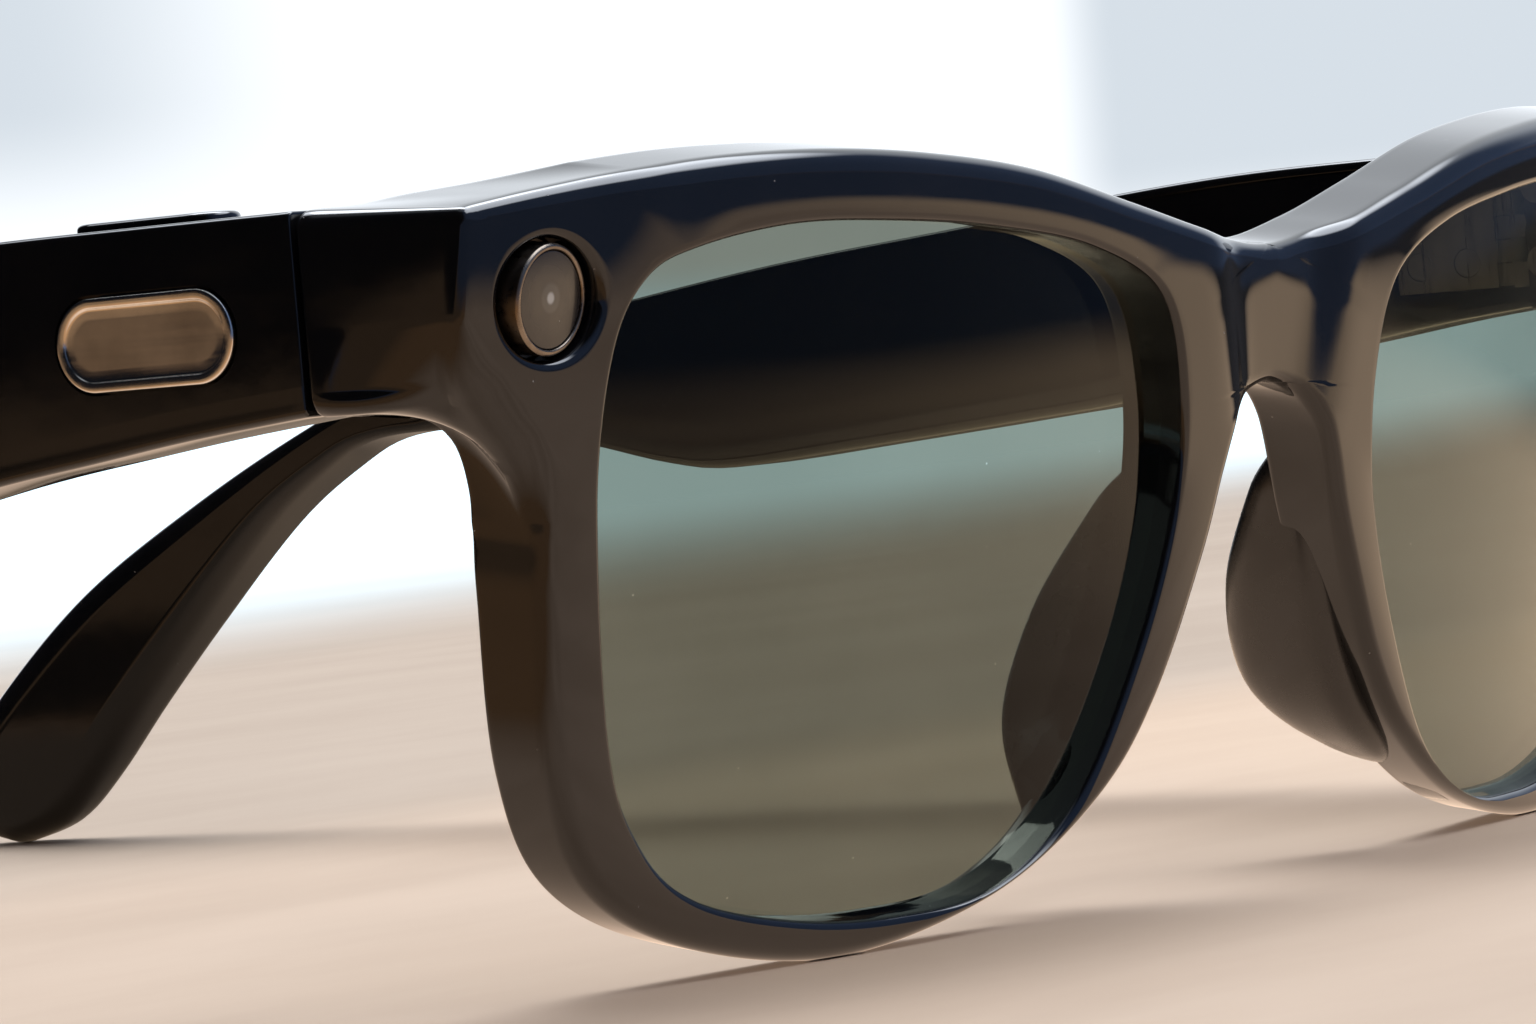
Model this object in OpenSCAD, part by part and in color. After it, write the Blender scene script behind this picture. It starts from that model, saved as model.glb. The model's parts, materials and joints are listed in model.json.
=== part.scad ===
// Smart glasses: a moulded front with two tinted lenses, a camera corner and a capture-light
// corner, and two hollow temples that fold on pinned barrel hinges.
// +X is the wearer's left, +Y points back towards the ears, +Z is up, and z = 0 is the table.

/* [Front] */
// Radius that the front wraps to, seen from above
wrap_r = 238; // [200:1:320]
// Forward lean of the front
tilt = 8.4; // [4:0.2:12]
// Depth of the rim at its bottom edge
rim_depth = 4.2; // [3.6:0.1:5]
// Extra depth of the brow over the rim's bottom edge
brow_extra = 2; // [1:0.1:3]
// How far the bridge sits behind the rims
bridge_recess = 1.1; // [0:0.1:2]

/* [Lenses] */
// Lens thickness
lens_t = 2; // [1.6:0.1:2.4]
// Depth of the lens behind the front surface
lens_set = 1.2; // [0.8:0.1:1.6]
// How far the lens edge runs into the rim
lens_bite = 0.6; // [0.4:0.05:0.8]

/* [Corner modules] */
// Distance of each module from the centre line
module_x = 64.2; // [63.5:0.1:64.6]
// Height of each module on the front
module_z = 39.1; // [38.5:0.1:39.6]
// Radius of the pocket that holds a module
module_r = 3.45; // [3.2:0.05:3.6]

/* [Hinges] */
// Distance of each hinge pin from the centre line
hinge_x = 65.2; // [65:0.1:65.4]
// Radius of the hinge pin
pin_r = 0.7; // [0.6:0.05:0.8]
// Outer radius of a hinge barrel
barrel_r = 1.7; // [1.5:0.05:1.75]
// Height of one of the five hinge barrels
barrel_h = 1.6; // [1.4:0.05:1.62]

/* [Temples] */
// Wall of the temple shell
wall = 1.3; // [1:0.1:1.5]
// Thickness of the cover on the inside of the temple
cover_t = 1.1; // [0.8:0.1:1.2]
// Length of the capture button
button_len = 11; // [8:0.5:11.5]
// Width of the capture button
button_w = 4; // [3.4:0.1:4.2]
// Height of the capture button above the temple
button_rise = 0.6; // [0.4:0.1:0.8]
// Travel of the capture button
button_travel = 0.35; // [0.2:0.05:0.4]

/* [Hidden] */
$fn = 96;
front_y = -82;           // row position of the front surface at the centre line
lean_z = 22;             // height about which the front leans
front_drop = 0.88;       // lowers the front so that the rims stand on the table
seam_y = 16.8;           // back face of the end pieces
hinge_y = 18.8;
hinge_z = 39.6;          // middle of the hinge
end_low = 33.8;
end_high = 45.4;
gap = 0.05;              // assembly clearance between fixed pieces
far = 40;                // reach of a cutting solid

// Outlines, as [distance from the centre line, height] on the front before it leans.
opening_pts = [[60.3, 28], [59.6, 36], [57.5, 40], [53.9, 41.7], [46.5, 42.9], [38.5, 42.9],
    [30, 42.3], [20.7, 40.8], [13.8, 37.7], [11.4, 31.5], [11.8, 24.5], [15, 16], [20.5, 7.4],
    [27.8, 3], [36.5, 2.1], [44.6, 2.6], [52.4, 4.5], [56.6, 8], [59, 14]];
top_pts = [[0, 40.2], [7.5, 41.3], [15.9, 43.3], [25.6, 45.6], [34.6, 46.7], [42.8, 47.1],
    [50.5, 46.9], [57.7, 46.2], [64.5, 45.2], [70.3, 44.2]];
corner_pts = [[70.3, 38.1], [69.4, 34.6], [67.4, 31.9], [64.6, 28.6]];
low_pts = [[64, 22.3], [62.8, 12.1], [59.6, 5.4], [52.2, 1.6], [40.5, 0], [27.7, 2.4],
    [18.2, 7.3], [12.8, 12.9], [8.2, 21.5], [6, 27.5], [4.6, 30.3], [2.9, 31], [0, 31.6]];
brow_pts = [[0, 36.6], [6, 37.4], [11, 39.6], [16, 41.3], [20.6, 42.7], [25.4, 43.8],
    [38.6, 44.9], [46.6, 45], [54, 44.2], [57.6, 43.2]];

// Temple outlines: side view as [y, z], and plan view as [y, distance from the centre line].
temple_top = [[17.05, 45.4], [28, 45.4], [41, 45.3], [53, 44.6], [65, 43.4], [83, 41.9],
    [99, 39.9], [110, 38.4], [118, 36.6], [129.5, 32.3], [141, 27], [153, 20.2], [163, 12],
    [166.2, 7.6], [166.6, 3.6], [164.8, 0.7]];
temple_low = [[162, 0], [157, 1.6], [153, 5], [148, 10.6], [142, 16.9], [134, 24.7], [128, 28.8],
    [123.5, 30.8], [117, 31.2], [109, 30.4], [102.6, 28.9], [96, 27.2], [90, 26.5],
    [77.5, 27.3], [62.8, 28.4], [53.7, 29.2], [41, 31.3], [33, 32.3], [25.7, 33.2],
    [17.05, 34]];
temple_out = [[17.05, 73], [45, 73.4], [70, 73.2], [95, 72.2], [120, 70.2], [140, 67.8],
    [155, 65.6], [167, 64.2]];
temple_in = [[167, 60], [152, 60.6], [138, 61.9], [124, 63.4], [110, 64.6], [90, 65.4],
    [70, 65.6], [17.05, 65.5]];

// Catmull-Rom curve through four neighbouring points.
function crom(a, b, c, d, t) =
    0.5 * (2 * b + (c - a) * t + (2 * a - 5 * b + 4 * c - d) * t * t
        + (3 * b - a - 3 * c + d) * t * t * t);
function closed_curve(p, n) = let (m = len(p))
    [for (i = [0 : m - 1], s = [0 : n - 1])
        crom(p[(i + m - 1) % m], p[i], p[(i + 1) % m], p[(i + 2) % m], s / n)];
function open_curve(p, n) = let (m = len(p) - 1)
    concat([for (i = [0 : m - 1], s = [0 : n - 1])
        crom(p[max(i - 1, 0)], p[i], p[i + 1], p[min(i + 2, m)], s / n)], [p[m]]);
function reversed(p) = [for (i = [len(p) - 1 : -1 : 0]) p[i]];
function mirrored(p) = [for (q = p) [-q[0], q[1]]];
function unit(v) = v / norm(v);
// Points of a closed outline moved outwards by d; the outline runs anticlockwise when side = 1.
function grown(p, d, side = 1) = let (m = len(p))
    [for (i = [0 : m - 1]) let (t = unit(p[(i + 1) % m] - p[(i + m - 1) % m]))
        p[i] + side * d * [t[1], -t[0]]];
// Band of half width w along an open curve.
function band(p, w) = let (m = len(p) - 1,
    n = [for (i = [0 : m]) let (t = unit(p[min(i + 1, m)] - p[max(i - 1, 0)])) [-t[1], t[0]]])
    concat([for (i = [0 : m]) p[i] + w * n[i]], [for (i = [m : -1 : 0]) p[i] - w * n[i]]);

opening = closed_curve(opening_pts, 4);
half_outline = concat(open_curve(top_pts, 4), open_curve(corner_pts, 3), open_curve(low_pts, 4));
outline = concat(half_outline,
    mirrored([for (i = [len(half_outline) - 2 : -1 : 1]) half_outline[i]]));
brow_mid = concat(reversed(mirrored(open_curve([for (i = [1 : 9]) brow_pts[i]], 3))),
    open_curve(brow_pts, 3));
temple_side = concat(open_curve(temple_top, 4), open_curve(temple_low, 3));
outer_line = [for (q = open_curve(temple_out, 3)) [q[1], q[0]]];
inner_line = [for (q = open_curve(temple_in, 3)) [q[1], q[0]]];
temple_plan = concat(outer_line, inner_line);
// Plan band between two offsets from a line that runs along the temple.
function strip(line, a, b) = concat([for (q = line) q + [a, 0]],
    reversed([for (q = line) q + [b, 0]]));

// Frames of reference.
module in_row() { translate([0, front_y, 0]) children(); }
module in_front() {
    in_row() translate([0, 0, lean_z - front_drop]) rotate([tilt, 0, 0])
        translate([0, 0, -lean_z]) children();
}
// side = 1 is the wearer's left and -1 the wearer's right.
module on_side(side) {
    if (side > 0) children();
    else mirror([1, 0, 0]) children();
}

// Extrudes an [x, z] outline from y0 to y1.
module along_y(y0, y1) {
    translate([0, y1, 0]) rotate([90, 0, 0]) linear_extrude(y1 - y0) children();
}
// Extrudes a [y, z] outline from x0 to x1.
module along_x(x0, x1) {
    translate([x0, 0, 0]) rotate([90, 0, 90]) linear_extrude(x1 - x0) children();
}
// Box between two corners.
module block(a, b) { translate(a) cube(b - a); }

// Everything behind a surface that lies d behind the front surface.
module behind(d, lean = 0) {
    translate([0, wrap_r, 0]) rotate([-lean, 0, 0])
        translate([0, 0, -far]) cylinder(r = wrap_r - d, h = 3 * far, $fn = 200);
}
rear_lean = atan(brow_extra / 46);
module behind_rear(d) { translate([0, d, 0]) behind(rim_depth, rear_lean); }

// ---- Front ----
end_plan = [[59.5, 2], [59.5, 13], [62, seam_y], [73, seam_y], [68.7, 2]];
end_face = [[57, 46.3], [64.5, 45.2], [70.3, 44.2], [74, 43.9], [74, 30], [57, 30]];

module front_plate() {
    in_front() difference() {
        intersection() {
            along_y(-5, 25) polygon(outline);
            behind(0);
        }
        behind_rear(0);
    }
}
module end_block(side) {
    intersection() {
        in_row() on_side(side) translate([0, 0, end_low]) linear_extrude(end_high - end_low)
            polygon(end_plan);
        in_front() on_side(side) along_y(-5, 25) polygon(end_face);
        in_front() behind(0);
    }
}
module bridge_cut() {
    half = 7.8;
    flat = 4.4;
    translate([0, 0, 28]) linear_extrude(16)
        polygon([[-half, -9], [-half, 0.12], [-flat, bridge_recess], [flat, bridge_recess],
            [half, 0.12], [half, -9]]);
}
module brow_strip(w, d0, d1) {
    difference() {
        intersection() {
            along_y(-5, 25) polygon(band(brow_mid, w));
            behind_rear(d0);
        }
        behind_rear(d1);
    }
}
module lens_body(extra) {
    difference() {
        intersection() {
            along_y(-5, 20) polygon(grown(opening, lens_bite + extra));
            behind(lens_set - extra);
        }
        behind(lens_set + lens_t + extra);
    }
}
// Disc of the corner module's axis, between two depths.
module module_disc(r, y0, y1) {
    translate([module_x, y1, module_z]) rotate([90, 0, 0]) cylinder(r = r, h = y1 - y0);
}
carrier_size = [8.4, 2.1, 2.6];
carrier_at = [0, 4.5, 33.9];
mic_size = [2.6, 1, 1.9];
mic_at = [8.7, 4.2, 27];
module centred(at, size, extra = 0) {
    e = [extra, extra, extra];
    block(at - size / 2 - e, at + size / 2 + e);
}
leaf_half = 4.2;
leaf_block = [[63.4, 13.5, hinge_z - leaf_half], [65.5, seam_y - gap, hinge_z + leaf_half]];
screw_dz = 2.6;
front_screw_y = 15.1;
module x_rod(r, x0, x1, y, z) {
    translate([x0, y, z]) rotate([0, 90, 0]) cylinder(r = r, h = x1 - x0);
}

module front_frame() {
    color("#17161a") difference() {
        union() {
            front_plate();
            for (side = [-1, 1]) end_block(side);
        }
        in_row() block([-80, -10, -5], [80, 30, 0]);
        in_front() for (side = [-1, 1]) on_side(side) {
            along_y(-9, 24) polygon(opening);
            lens_body(gap);
            module_disc(module_r, 2, 15.2);
        }
        in_front() {
            bridge_cut();
            brow_strip(0.9, -1.6, 4);
            block(carrier_at - carrier_size / 2 - [gap, gap, gap],
                carrier_at + carrier_size / 2 + [gap, 5, gap]);
            block(mic_at - mic_size / 2 - [gap, gap, gap],
                mic_at + mic_size / 2 + [gap, 5, gap]);
        }
        in_row() for (side = [-1, 1]) on_side(side) {
            block(leaf_block[0] - [gap, gap, gap], leaf_block[1] + [gap, 5, gap]);
            for (dz = [-screw_dz, screw_dz]) {
                x_rod(0.65, 58, 64, front_screw_y, hinge_z + dz);
                x_rod(1.15, 56, 61.75, front_screw_y, hinge_z + dz);
            }
        }
    }
}
module lens(side) {
    color("#5f6e66", 0.55) in_front() on_side(side) lens_body(0);
}
module lens_right() { lens(-1); }
module lens_left() { lens(1); }

// The pad's balls: [distance from the centre line, depth, height, radius].
pad_balls = [[8.6, 4.6, 27.5, 1.3], [9.7, 6.4, 23.5, 1.9], [11.6, 8.5, 17.5, 2.3],
    [14.4, 8.7, 11.5, 2.3], [18.2, 6.8, 7.4, 1.8], [20.2, 4.8, 5.4, 1.2]];
module nose_pad(side) {
    color("#0f0f11") in_front() on_side(side) intersection() {
        hull() for (b = pad_balls) {
            translate([b[0], b[1], b[2]]) sphere(r = b[3], $fn = 32);
            translate([b[0] + 0.6, 3, b[2]]) sphere(r = b[3], $fn = 24);
        }
        behind_rear(gap);
    }
}
module nose_pad_right() { nose_pad(-1); }
module nose_pad_left() { nose_pad(1); }

module brow_cover() { color("#1b1a1e") in_front() brow_strip(0.85, -1, -0.15); }
module brow_flex() { color("#b06a2c") in_front() brow_strip(0.7, -1.55, -1.25); }
module nose_microphone() { color("#c9b37a") in_front() centred(mic_at, mic_size); }
contact_r = 0.8;
contact_x = 2.2;
module contact_pin(r, x, y0) {
    translate([x, 6.1, carrier_at[2]]) rotate([90, 0, 0]) cylinder(r = r, h = 6.1 - y0);
}
module charge_contact_carrier() {
    color("#2a2a2c") in_front() difference() {
        centred(carrier_at, carrier_size);
        for (x = [-contact_x, contact_x]) contact_pin(contact_r + gap, x, 3);
    }
}
module charge_contacts() {
    color("#d8b25a") in_front() intersection() {
        for (x = [-contact_x, contact_x]) contact_pin(contact_r, x, 3.6);
        block([-9, 0, 20], [9, 5.75, 40]);
    }
}

// The ring stands proud of the slanted corner on its outer side, and holds a flat window.
neck_r = 3.15;
bore_r = 2.78;
ring_front = 8.63;
ring_step = 10.4;
ring_back = 11;
window_front = 8.74;
window_back = 9.9;
module corner_ring(side) {
    in_front() on_side(side) difference() {
        union() {
            module_disc(neck_r, ring_front, ring_step);
            module_disc(module_r - gap, ring_step, ring_back);
        }
        module_disc(bore_r, ring_front - 1, ring_back + 1);
    }
}
module corner_window(side) {
    in_front() on_side(side) module_disc(bore_r - gap, window_front, window_back);
}
module corner_module(side, barrel) {
    in_front() on_side(side) {
        module_disc(barrel, window_back + gap, ring_back + 1);
        module_disc(3.1, 11.1, 14.2);
        centred([module_x, 14.5, module_z], [4.4, 1.1, 4.4]);
    }
}
module capture_light_ring() { color("#8d8a86") corner_ring(-1); }
module capture_light_window() { color("#4a4440", 0.6) corner_window(-1); }
module capture_light_module() { color("#d9d6cc") corner_module(-1, 1.2); }
module camera_ring() { color("#8d8a86") corner_ring(1); }
module camera_window() { color("#202226", 0.6) corner_window(1); }
module camera_module() { color("#101014") corner_module(1, 2.2); }

// ---- Hinges ----
module barrel(i, r, z_gap = 0.03) {
    translate([hinge_x, hinge_y, hinge_z + (i - 2.5) * (barrel_h + 0.06) + z_gap])
        cylinder(r = r, h = barrel_h);
}
module barrel_arm(i, a, b) {
    z = hinge_z + (i - 2.5) * (barrel_h + 0.06) + 0.03;
    block([a[0], a[1], z], [b[0], b[1], z + barrel_h]);
}
module pin_bore(r) {
    translate([hinge_x, hinge_y, hinge_z - 8]) cylinder(r = r, h = 16);
}
module hinge_front_leaf(side) {
    color("#77777c") in_row() on_side(side) difference() {
        union() {
            block(leaf_block[0], leaf_block[1]);
            for (i = [0, 2, 4]) {
                barrel(i, barrel_r);
                barrel_arm(i, [hinge_x - barrel_r, seam_y - 1], [hinge_x, hinge_y]);
            }
        }
        pin_bore(pin_r + 0.01);
        for (dz = [-screw_dz, screw_dz]) x_rod(0.62, 60, 70, front_screw_y, hinge_z + dz);
    }
}
module hinge_front_leaf_right() { hinge_front_leaf(-1); }
module hinge_front_leaf_left() { hinge_front_leaf(1); }

pin_half = 4.3;
module hinge_pin(side) {
    color("#9a9aa0") in_row() on_side(side) translate([hinge_x, hinge_y, hinge_z]) {
        translate([0, 0, -pin_half]) cylinder(r = pin_r, h = 2 * pin_half);
        translate([0, 0, pin_half]) cylinder(r = 1.15, h = 0.35);
    }
}
module hinge_pin_right() { hinge_pin(-1); }
module hinge_pin_left() { hinge_pin(1); }

module hinge_front_screws() {
    color("#8c8c90") in_row() for (side = [-1, 1], dz = [-screw_dz, screw_dz]) on_side(side) {
        x_rod(0.6, 61.5, 65.3, front_screw_y, hinge_z + dz);
        x_rod(1.1, 61, 61.7, front_screw_y, hinge_z + dz);
    }
}
temple_leaf = [[65.55, 21, hinge_z - leaf_half], [66.75, 29, hinge_z + leaf_half]];
leaf_screw_y = [23.4, 27.2];
leaf_screw_z = hinge_z - 2.3;
module hinge_temple_leaf(side) {
    color("#77777c") in_row() on_side(side) difference() {
        union() {
            block(temple_leaf[0], temple_leaf[1]);
            for (i = [1, 3]) {
                barrel(i, barrel_r);
                barrel_arm(i, [temple_leaf[0][0], hinge_y], [temple_leaf[1][0], 21.5]);
            }
        }
        pin_bore(pin_r + 0.04);
        for (y = leaf_screw_y) x_rod(0.57, 60, 70, y, leaf_screw_z);
        for (y = leaf_screw_y) x_rod(1.05, 60, 66.1, y, leaf_screw_z);
    }
}
module hinge_temple_leaf_right() { hinge_temple_leaf(-1); }
module hinge_temple_leaf_left() { hinge_temple_leaf(1); }
module hinge_screws(side) {
    color("#8c8c90") in_row() on_side(side) for (y = leaf_screw_y) {
        x_rod(0.55, 65.9, 69.4, y, leaf_screw_z);
        x_rod(1, 65.6, 66.05, y, leaf_screw_z);
    }
}
module hinge_screws_right() { hinge_screws(-1); }
module hinge_screws_left() { hinge_screws(1); }

// ---- Temples ----
hollow_y = [31, 112];
cover_y = [31.5, 111.5];
port = [[67.4, 87], [69.8, 96]];
sound_hole = [69, 35.1];
button_y = 29.5;
button_pocket = [22.4, 36.6];
button_x = 69.4;
ceiling = end_high - wall - 0.1;
badge_size = [13, 5.4];
badge_at = [28, 39];

module side_region(inset, y0, y1) {
    intersection() {
        along_x(55, 78) polygon(grown(temple_side, -inset, -1));
        block([50, y0, -5], [80, y1, 60]);
    }
}
module plan_region(points) { translate([0, 0, -5]) linear_extrude(60) polygon(points); }
module stadium(len, w) {
    square([w, len - w], center = true);
    for (s = [-1, 1]) translate([0, s * (len - w) / 2]) circle(d = w);
}
module badge_plate(extra, x0, x1) {
    translate([x0, badge_at[0], badge_at[1]]) rotate([90, 0, 90]) linear_extrude(x1 - x0)
        rotate(90) stadium(badge_size[0] + 2 * extra, badge_size[1] + 2 * extra);
}
module button_column(extra, len_more, w_more, z0, z1) {
    translate([button_x, button_y, z0]) linear_extrude(z1 - z0)
        stadium(button_len + len_more + 2 * extra, button_w + w_more + 2 * extra);
}
module cover_piece(extra) {
    intersection() {
        side_region(0.8 - extra, cover_y[0] - extra, cover_y[1] + extra);
        plan_region(strip(inner_line, -extra * 20, cover_t + extra));
    }
}
module temple_shell(side) {
    color("#17161a") in_row() on_side(side) difference() {
        intersection() {
            side_region(0, 10, 180);
            plan_region(temple_plan);
        }
        intersection() {
            side_region(wall, hollow_y[0], hollow_y[1]);
            plan_region(strip(outer_line, -12, -wall));
        }
        cover_piece(gap);
        block([64, hinge_y, temple_leaf[0][2] - gap], temple_leaf[1] + [gap, 0.1, gap]);
        translate([hinge_x, hinge_y, hinge_z - 4.5])
            cylinder(r = barrel_r + 0.35, h = 9.4);
        for (y = leaf_screw_y) x_rod(0.6, 60, 69.5, y, leaf_screw_z);
        translate([(port[0][0] + port[1][0]) / 2, (port[0][1] + port[1][1]) / 2, 20])
            linear_extrude(9.2) square(port[1] - port[0], center = true);
        translate([sound_hole[0], sound_hole[1], 28]) cylinder(r = 0.35, h = 8);
        badge_plate(gap, 72.45, 80);
        if (side < 0) {
            block([67.2, button_pocket[0], 38.6], [71.7, button_pocket[1], ceiling]);
            button_column(0.15, 0, 0, ceiling - 1, 50);
        }
    }
}
module temple_shell_right() { temple_shell(-1); }
module temple_shell_left() { temple_shell(1); }
slot_at = [37.25, 39.7];
module temple_cover_right() { color("#1b1a1e") in_row() on_side(-1) cover_piece(0); }
module temple_cover_left() {
    color("#1b1a1e") in_row() difference() {
        cover_piece(0);
        translate([60, slot_at[0], slot_at[1]]) rotate([90, 0, 90]) linear_extrude(10)
            square([5.5, 2.2], center = true);
    }
}
module badge(side) { color("#cfcfd2") in_row() on_side(side) badge_plate(0, 72.5, 73.4); }
module badge_right() { badge(-1); }
module badge_left() { badge(1); }

// Thin film bonded to the inside of the outer wall.
module wall_film(side, y0, y1) {
    in_row() on_side(side) intersection() {
        side_region(wall + 1.2, y0, y1);
        plan_region(strip(outer_line, -wall - 0.35, -wall - 0.05));
    }
}
module touch_sensor_right() { color("#b06a2c") wall_film(-1, 36, 78); }
module antenna_left() { color("#b06a2c") wall_film(1, 86, 110); }

// Box that lies along the falling line of the temple's hollow.
hollow_fall = 6.1;
module along_hollow(side, at, size) {
    in_row() on_side(side) translate(at) rotate([-hollow_fall, 0, 0]) cube(size, center = true);
}
module main_board_right() {
    color("#1f5b3a") along_hollow(-1, [70.4, 61, 36.3], [0.8, 44, 8.4]);
}
module processor_module_right() {
    chips = [[48, 9, 7], [59, 9, 6], [72, 12, 6.5]];
    for (c = chips) color("#9aa0a4")
        along_hollow(-1, [68.9, c[0], 36.3 - (c[0] - 61) * tan(hollow_fall)], [2.1, c[1], c[2]]);
}
module battery_left() {
    color("#6d7278") along_hollow(1, [69.3, 65, 35.9], [4.2, 38, 8.2]);
}
module battery_board_left() {
    color("#1f5b3a") along_hollow(1, [69.3, 85, 33.4], [3.4, 1, 6]);
}
module speaker(side) {
    color("#2e2e32") in_row() on_side(side) block([66.9, 86.6, 29.4], [70.2, 98.6, 35.6]);
}
module speaker_right() { speaker(-1); }
module speaker_left() { speaker(1); }
module speaker_grille(side) {
    slots = 9;
    pitch = (port[1][1] - port[0][1]) / slots;
    color("#5a5a5e") in_row() on_side(side) difference() {
        block([port[0][0] + gap, port[0][1] + gap, 27.6], [port[1][0] - gap, port[1][1] - gap, 28.2]);
        for (i = [0 : slots - 1])
            centred([68.6, port[0][1] + (i + 0.5) * pitch, 28], [1.6, 0.45, 3]);
    }
}
module speaker_grille_right() { speaker_grille(-1); }
module speaker_grille_left() { speaker_grille(1); }
module microphone(side) {
    color("#c9b37a") in_row() on_side(side)
        block([sound_hole[0] - 1.4, sound_hole[1] - 1.4, 33.9],
            [sound_hole[0] + 1.4, sound_hole[1] + 1.4, 34.9]);
}
module microphone_right() { microphone(-1); }
module microphone_left() { microphone(1); }

// ---- Controls ----
module capture_switch() {
    color("#b8b8bc") in_row() on_side(-1) {
        block([67.9, button_y - 1.8, 38.65], [70.9, button_y + 1.8, 42]);
        translate([button_x, button_y, 41.9]) cylinder(r = 0.7, h = 0.45);
    }
}
module capture_button() {
    top = end_high + button_rise;
    flange_top = ceiling - 0.1;
    color("#1d1c20") in_row() on_side(-1) {
        button_column(0, 0, 0, flange_top - 0.1, top);
        button_column(0, 1.6, -0.3, flange_top - 0.6, flange_top);
        translate([button_x, button_y, 42.4 + button_travel])
            cylinder(r = 0.8, h = flange_top - 42.4 - button_travel);
    }
}
module power_switch_board() {
    color("#1f5b3a") in_row() {
        block([68.6, 33.4, 36.6], [69.4, 44, 42.4]);
        block([67.5, 34.6, 38.4], [68.6, 41, 41]);
    }
}
knob = [[65, 35.1, slot_at[1] - 0.95], [66.9, 37.9, slot_at[1] + 0.95]];
module power_slider() {
    color("#2b2a2e") in_row() {
        block(knob[0], knob[1]);
        block([66.85, 34.3, slot_at[1] - 1.8], [67.35, 38.7, slot_at[1] + 1.8]);
    }
}

front_frame();
lens_right();
lens_left();
nose_pad_right();
nose_pad_left();
brow_cover();
brow_flex();
nose_microphone();
charge_contact_carrier();
charge_contacts();
capture_light_ring();
capture_light_window();
capture_light_module();
camera_ring();
camera_window();
camera_module();
hinge_front_leaf_right();
hinge_front_leaf_left();
hinge_pin_right();
hinge_pin_left();
hinge_front_screws();
temple_shell_right();
temple_cover_right();
touch_sensor_right();
main_board_right();
processor_module_right();
speaker_right();
speaker_grille_right();
microphone_right();
capture_switch();
badge_right();
hinge_temple_leaf_right();
hinge_screws_right();
temple_shell_left();
temple_cover_left();
battery_left();
battery_board_left();
speaker_left();
speaker_grille_left();
microphone_left();
antenna_left();
power_switch_board();
badge_left();
hinge_temple_leaf_left();
hinge_screws_left();
capture_button();
power_slider();
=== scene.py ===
import json
import math

import bmesh
import bpy
import numpy as np
from mathutils import Matrix, Vector

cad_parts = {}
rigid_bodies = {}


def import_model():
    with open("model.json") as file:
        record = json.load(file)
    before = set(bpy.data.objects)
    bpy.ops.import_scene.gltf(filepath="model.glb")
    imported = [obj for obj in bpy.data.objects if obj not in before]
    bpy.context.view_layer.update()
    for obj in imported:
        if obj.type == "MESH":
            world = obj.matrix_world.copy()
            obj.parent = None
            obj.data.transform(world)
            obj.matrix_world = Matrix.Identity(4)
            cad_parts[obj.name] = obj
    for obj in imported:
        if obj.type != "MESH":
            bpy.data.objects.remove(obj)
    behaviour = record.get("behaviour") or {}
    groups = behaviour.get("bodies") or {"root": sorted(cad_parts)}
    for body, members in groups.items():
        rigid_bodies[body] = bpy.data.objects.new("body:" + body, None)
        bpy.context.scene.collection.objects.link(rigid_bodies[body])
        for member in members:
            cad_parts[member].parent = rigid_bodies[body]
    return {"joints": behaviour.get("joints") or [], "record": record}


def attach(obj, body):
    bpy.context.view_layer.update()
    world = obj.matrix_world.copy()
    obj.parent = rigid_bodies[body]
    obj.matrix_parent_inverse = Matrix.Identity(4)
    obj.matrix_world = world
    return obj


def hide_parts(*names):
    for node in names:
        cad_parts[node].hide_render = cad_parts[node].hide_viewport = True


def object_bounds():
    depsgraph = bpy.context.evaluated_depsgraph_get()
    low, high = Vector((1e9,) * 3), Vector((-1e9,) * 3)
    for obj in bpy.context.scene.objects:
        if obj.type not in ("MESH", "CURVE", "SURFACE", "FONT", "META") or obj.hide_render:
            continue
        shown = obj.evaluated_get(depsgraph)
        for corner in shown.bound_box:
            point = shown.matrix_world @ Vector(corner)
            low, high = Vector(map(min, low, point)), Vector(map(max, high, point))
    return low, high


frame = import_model()
CAD_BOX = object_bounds()

MM = 0.001
MADE = {}                               # piece name to material slot

# ---- places taken from the frame
JOINTS = {j["name"]: j for j in frame["joints"]}
HINGE = np.array(JOINTS["temple_left_fold"]["pos_m"]) / MM
HINGE_X, HINGE_BACK, HINGE_Z = 65.2, 18.8, 39.6     # HINGE_BACK: behind the front's centre
FRONT_Y = HINGE[1] - HINGE_BACK         # row position of the front surface's centre
SEAM_Y = 16.8                           # back of the end pieces, from the front surface's centre

# ---- driving dimensions, millimetres
TILT = math.radians(8.4)                # forward lean of the front
LEAN_Z = 22.0                           # height about which the front leans
FRONT_DROP = 0.88                       # the front is lowered until the rims touch the table
WRAP = 0.5 / 238                        # front surface: y = WRAP * x * x
RIM_DEPTH = 4.2
REAR_LEAN = 2.0 / 46                    # the rim gets this much deeper per millimetre of height
BRIDGE_RECESS = 1.1                     # the bridge's face, behind the rims' front
RIM_EDGE, LENS_EDGE, BACK_EDGE = 0.9, 0.45, 0.5     # edge radii: front, openings, back
LENS_SET = 0.7                          # lens front in the middle, behind the front surface
LENS_T = 2.0
LENS_BITE = 0.6                         # how far the lens reaches into its groove
MODULE_X, MODULE_Z, MODULE_R = 64.2, 39.1, 3.45
MODULE_LIP, MODULE_FLOOR = 0.5, 15.2    # the pocket's edge radius and its depth
BRIDGE_LOW, BRIDGE_TOP = 31.6, 40.2     # heights of the front's edges in the middle

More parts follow.
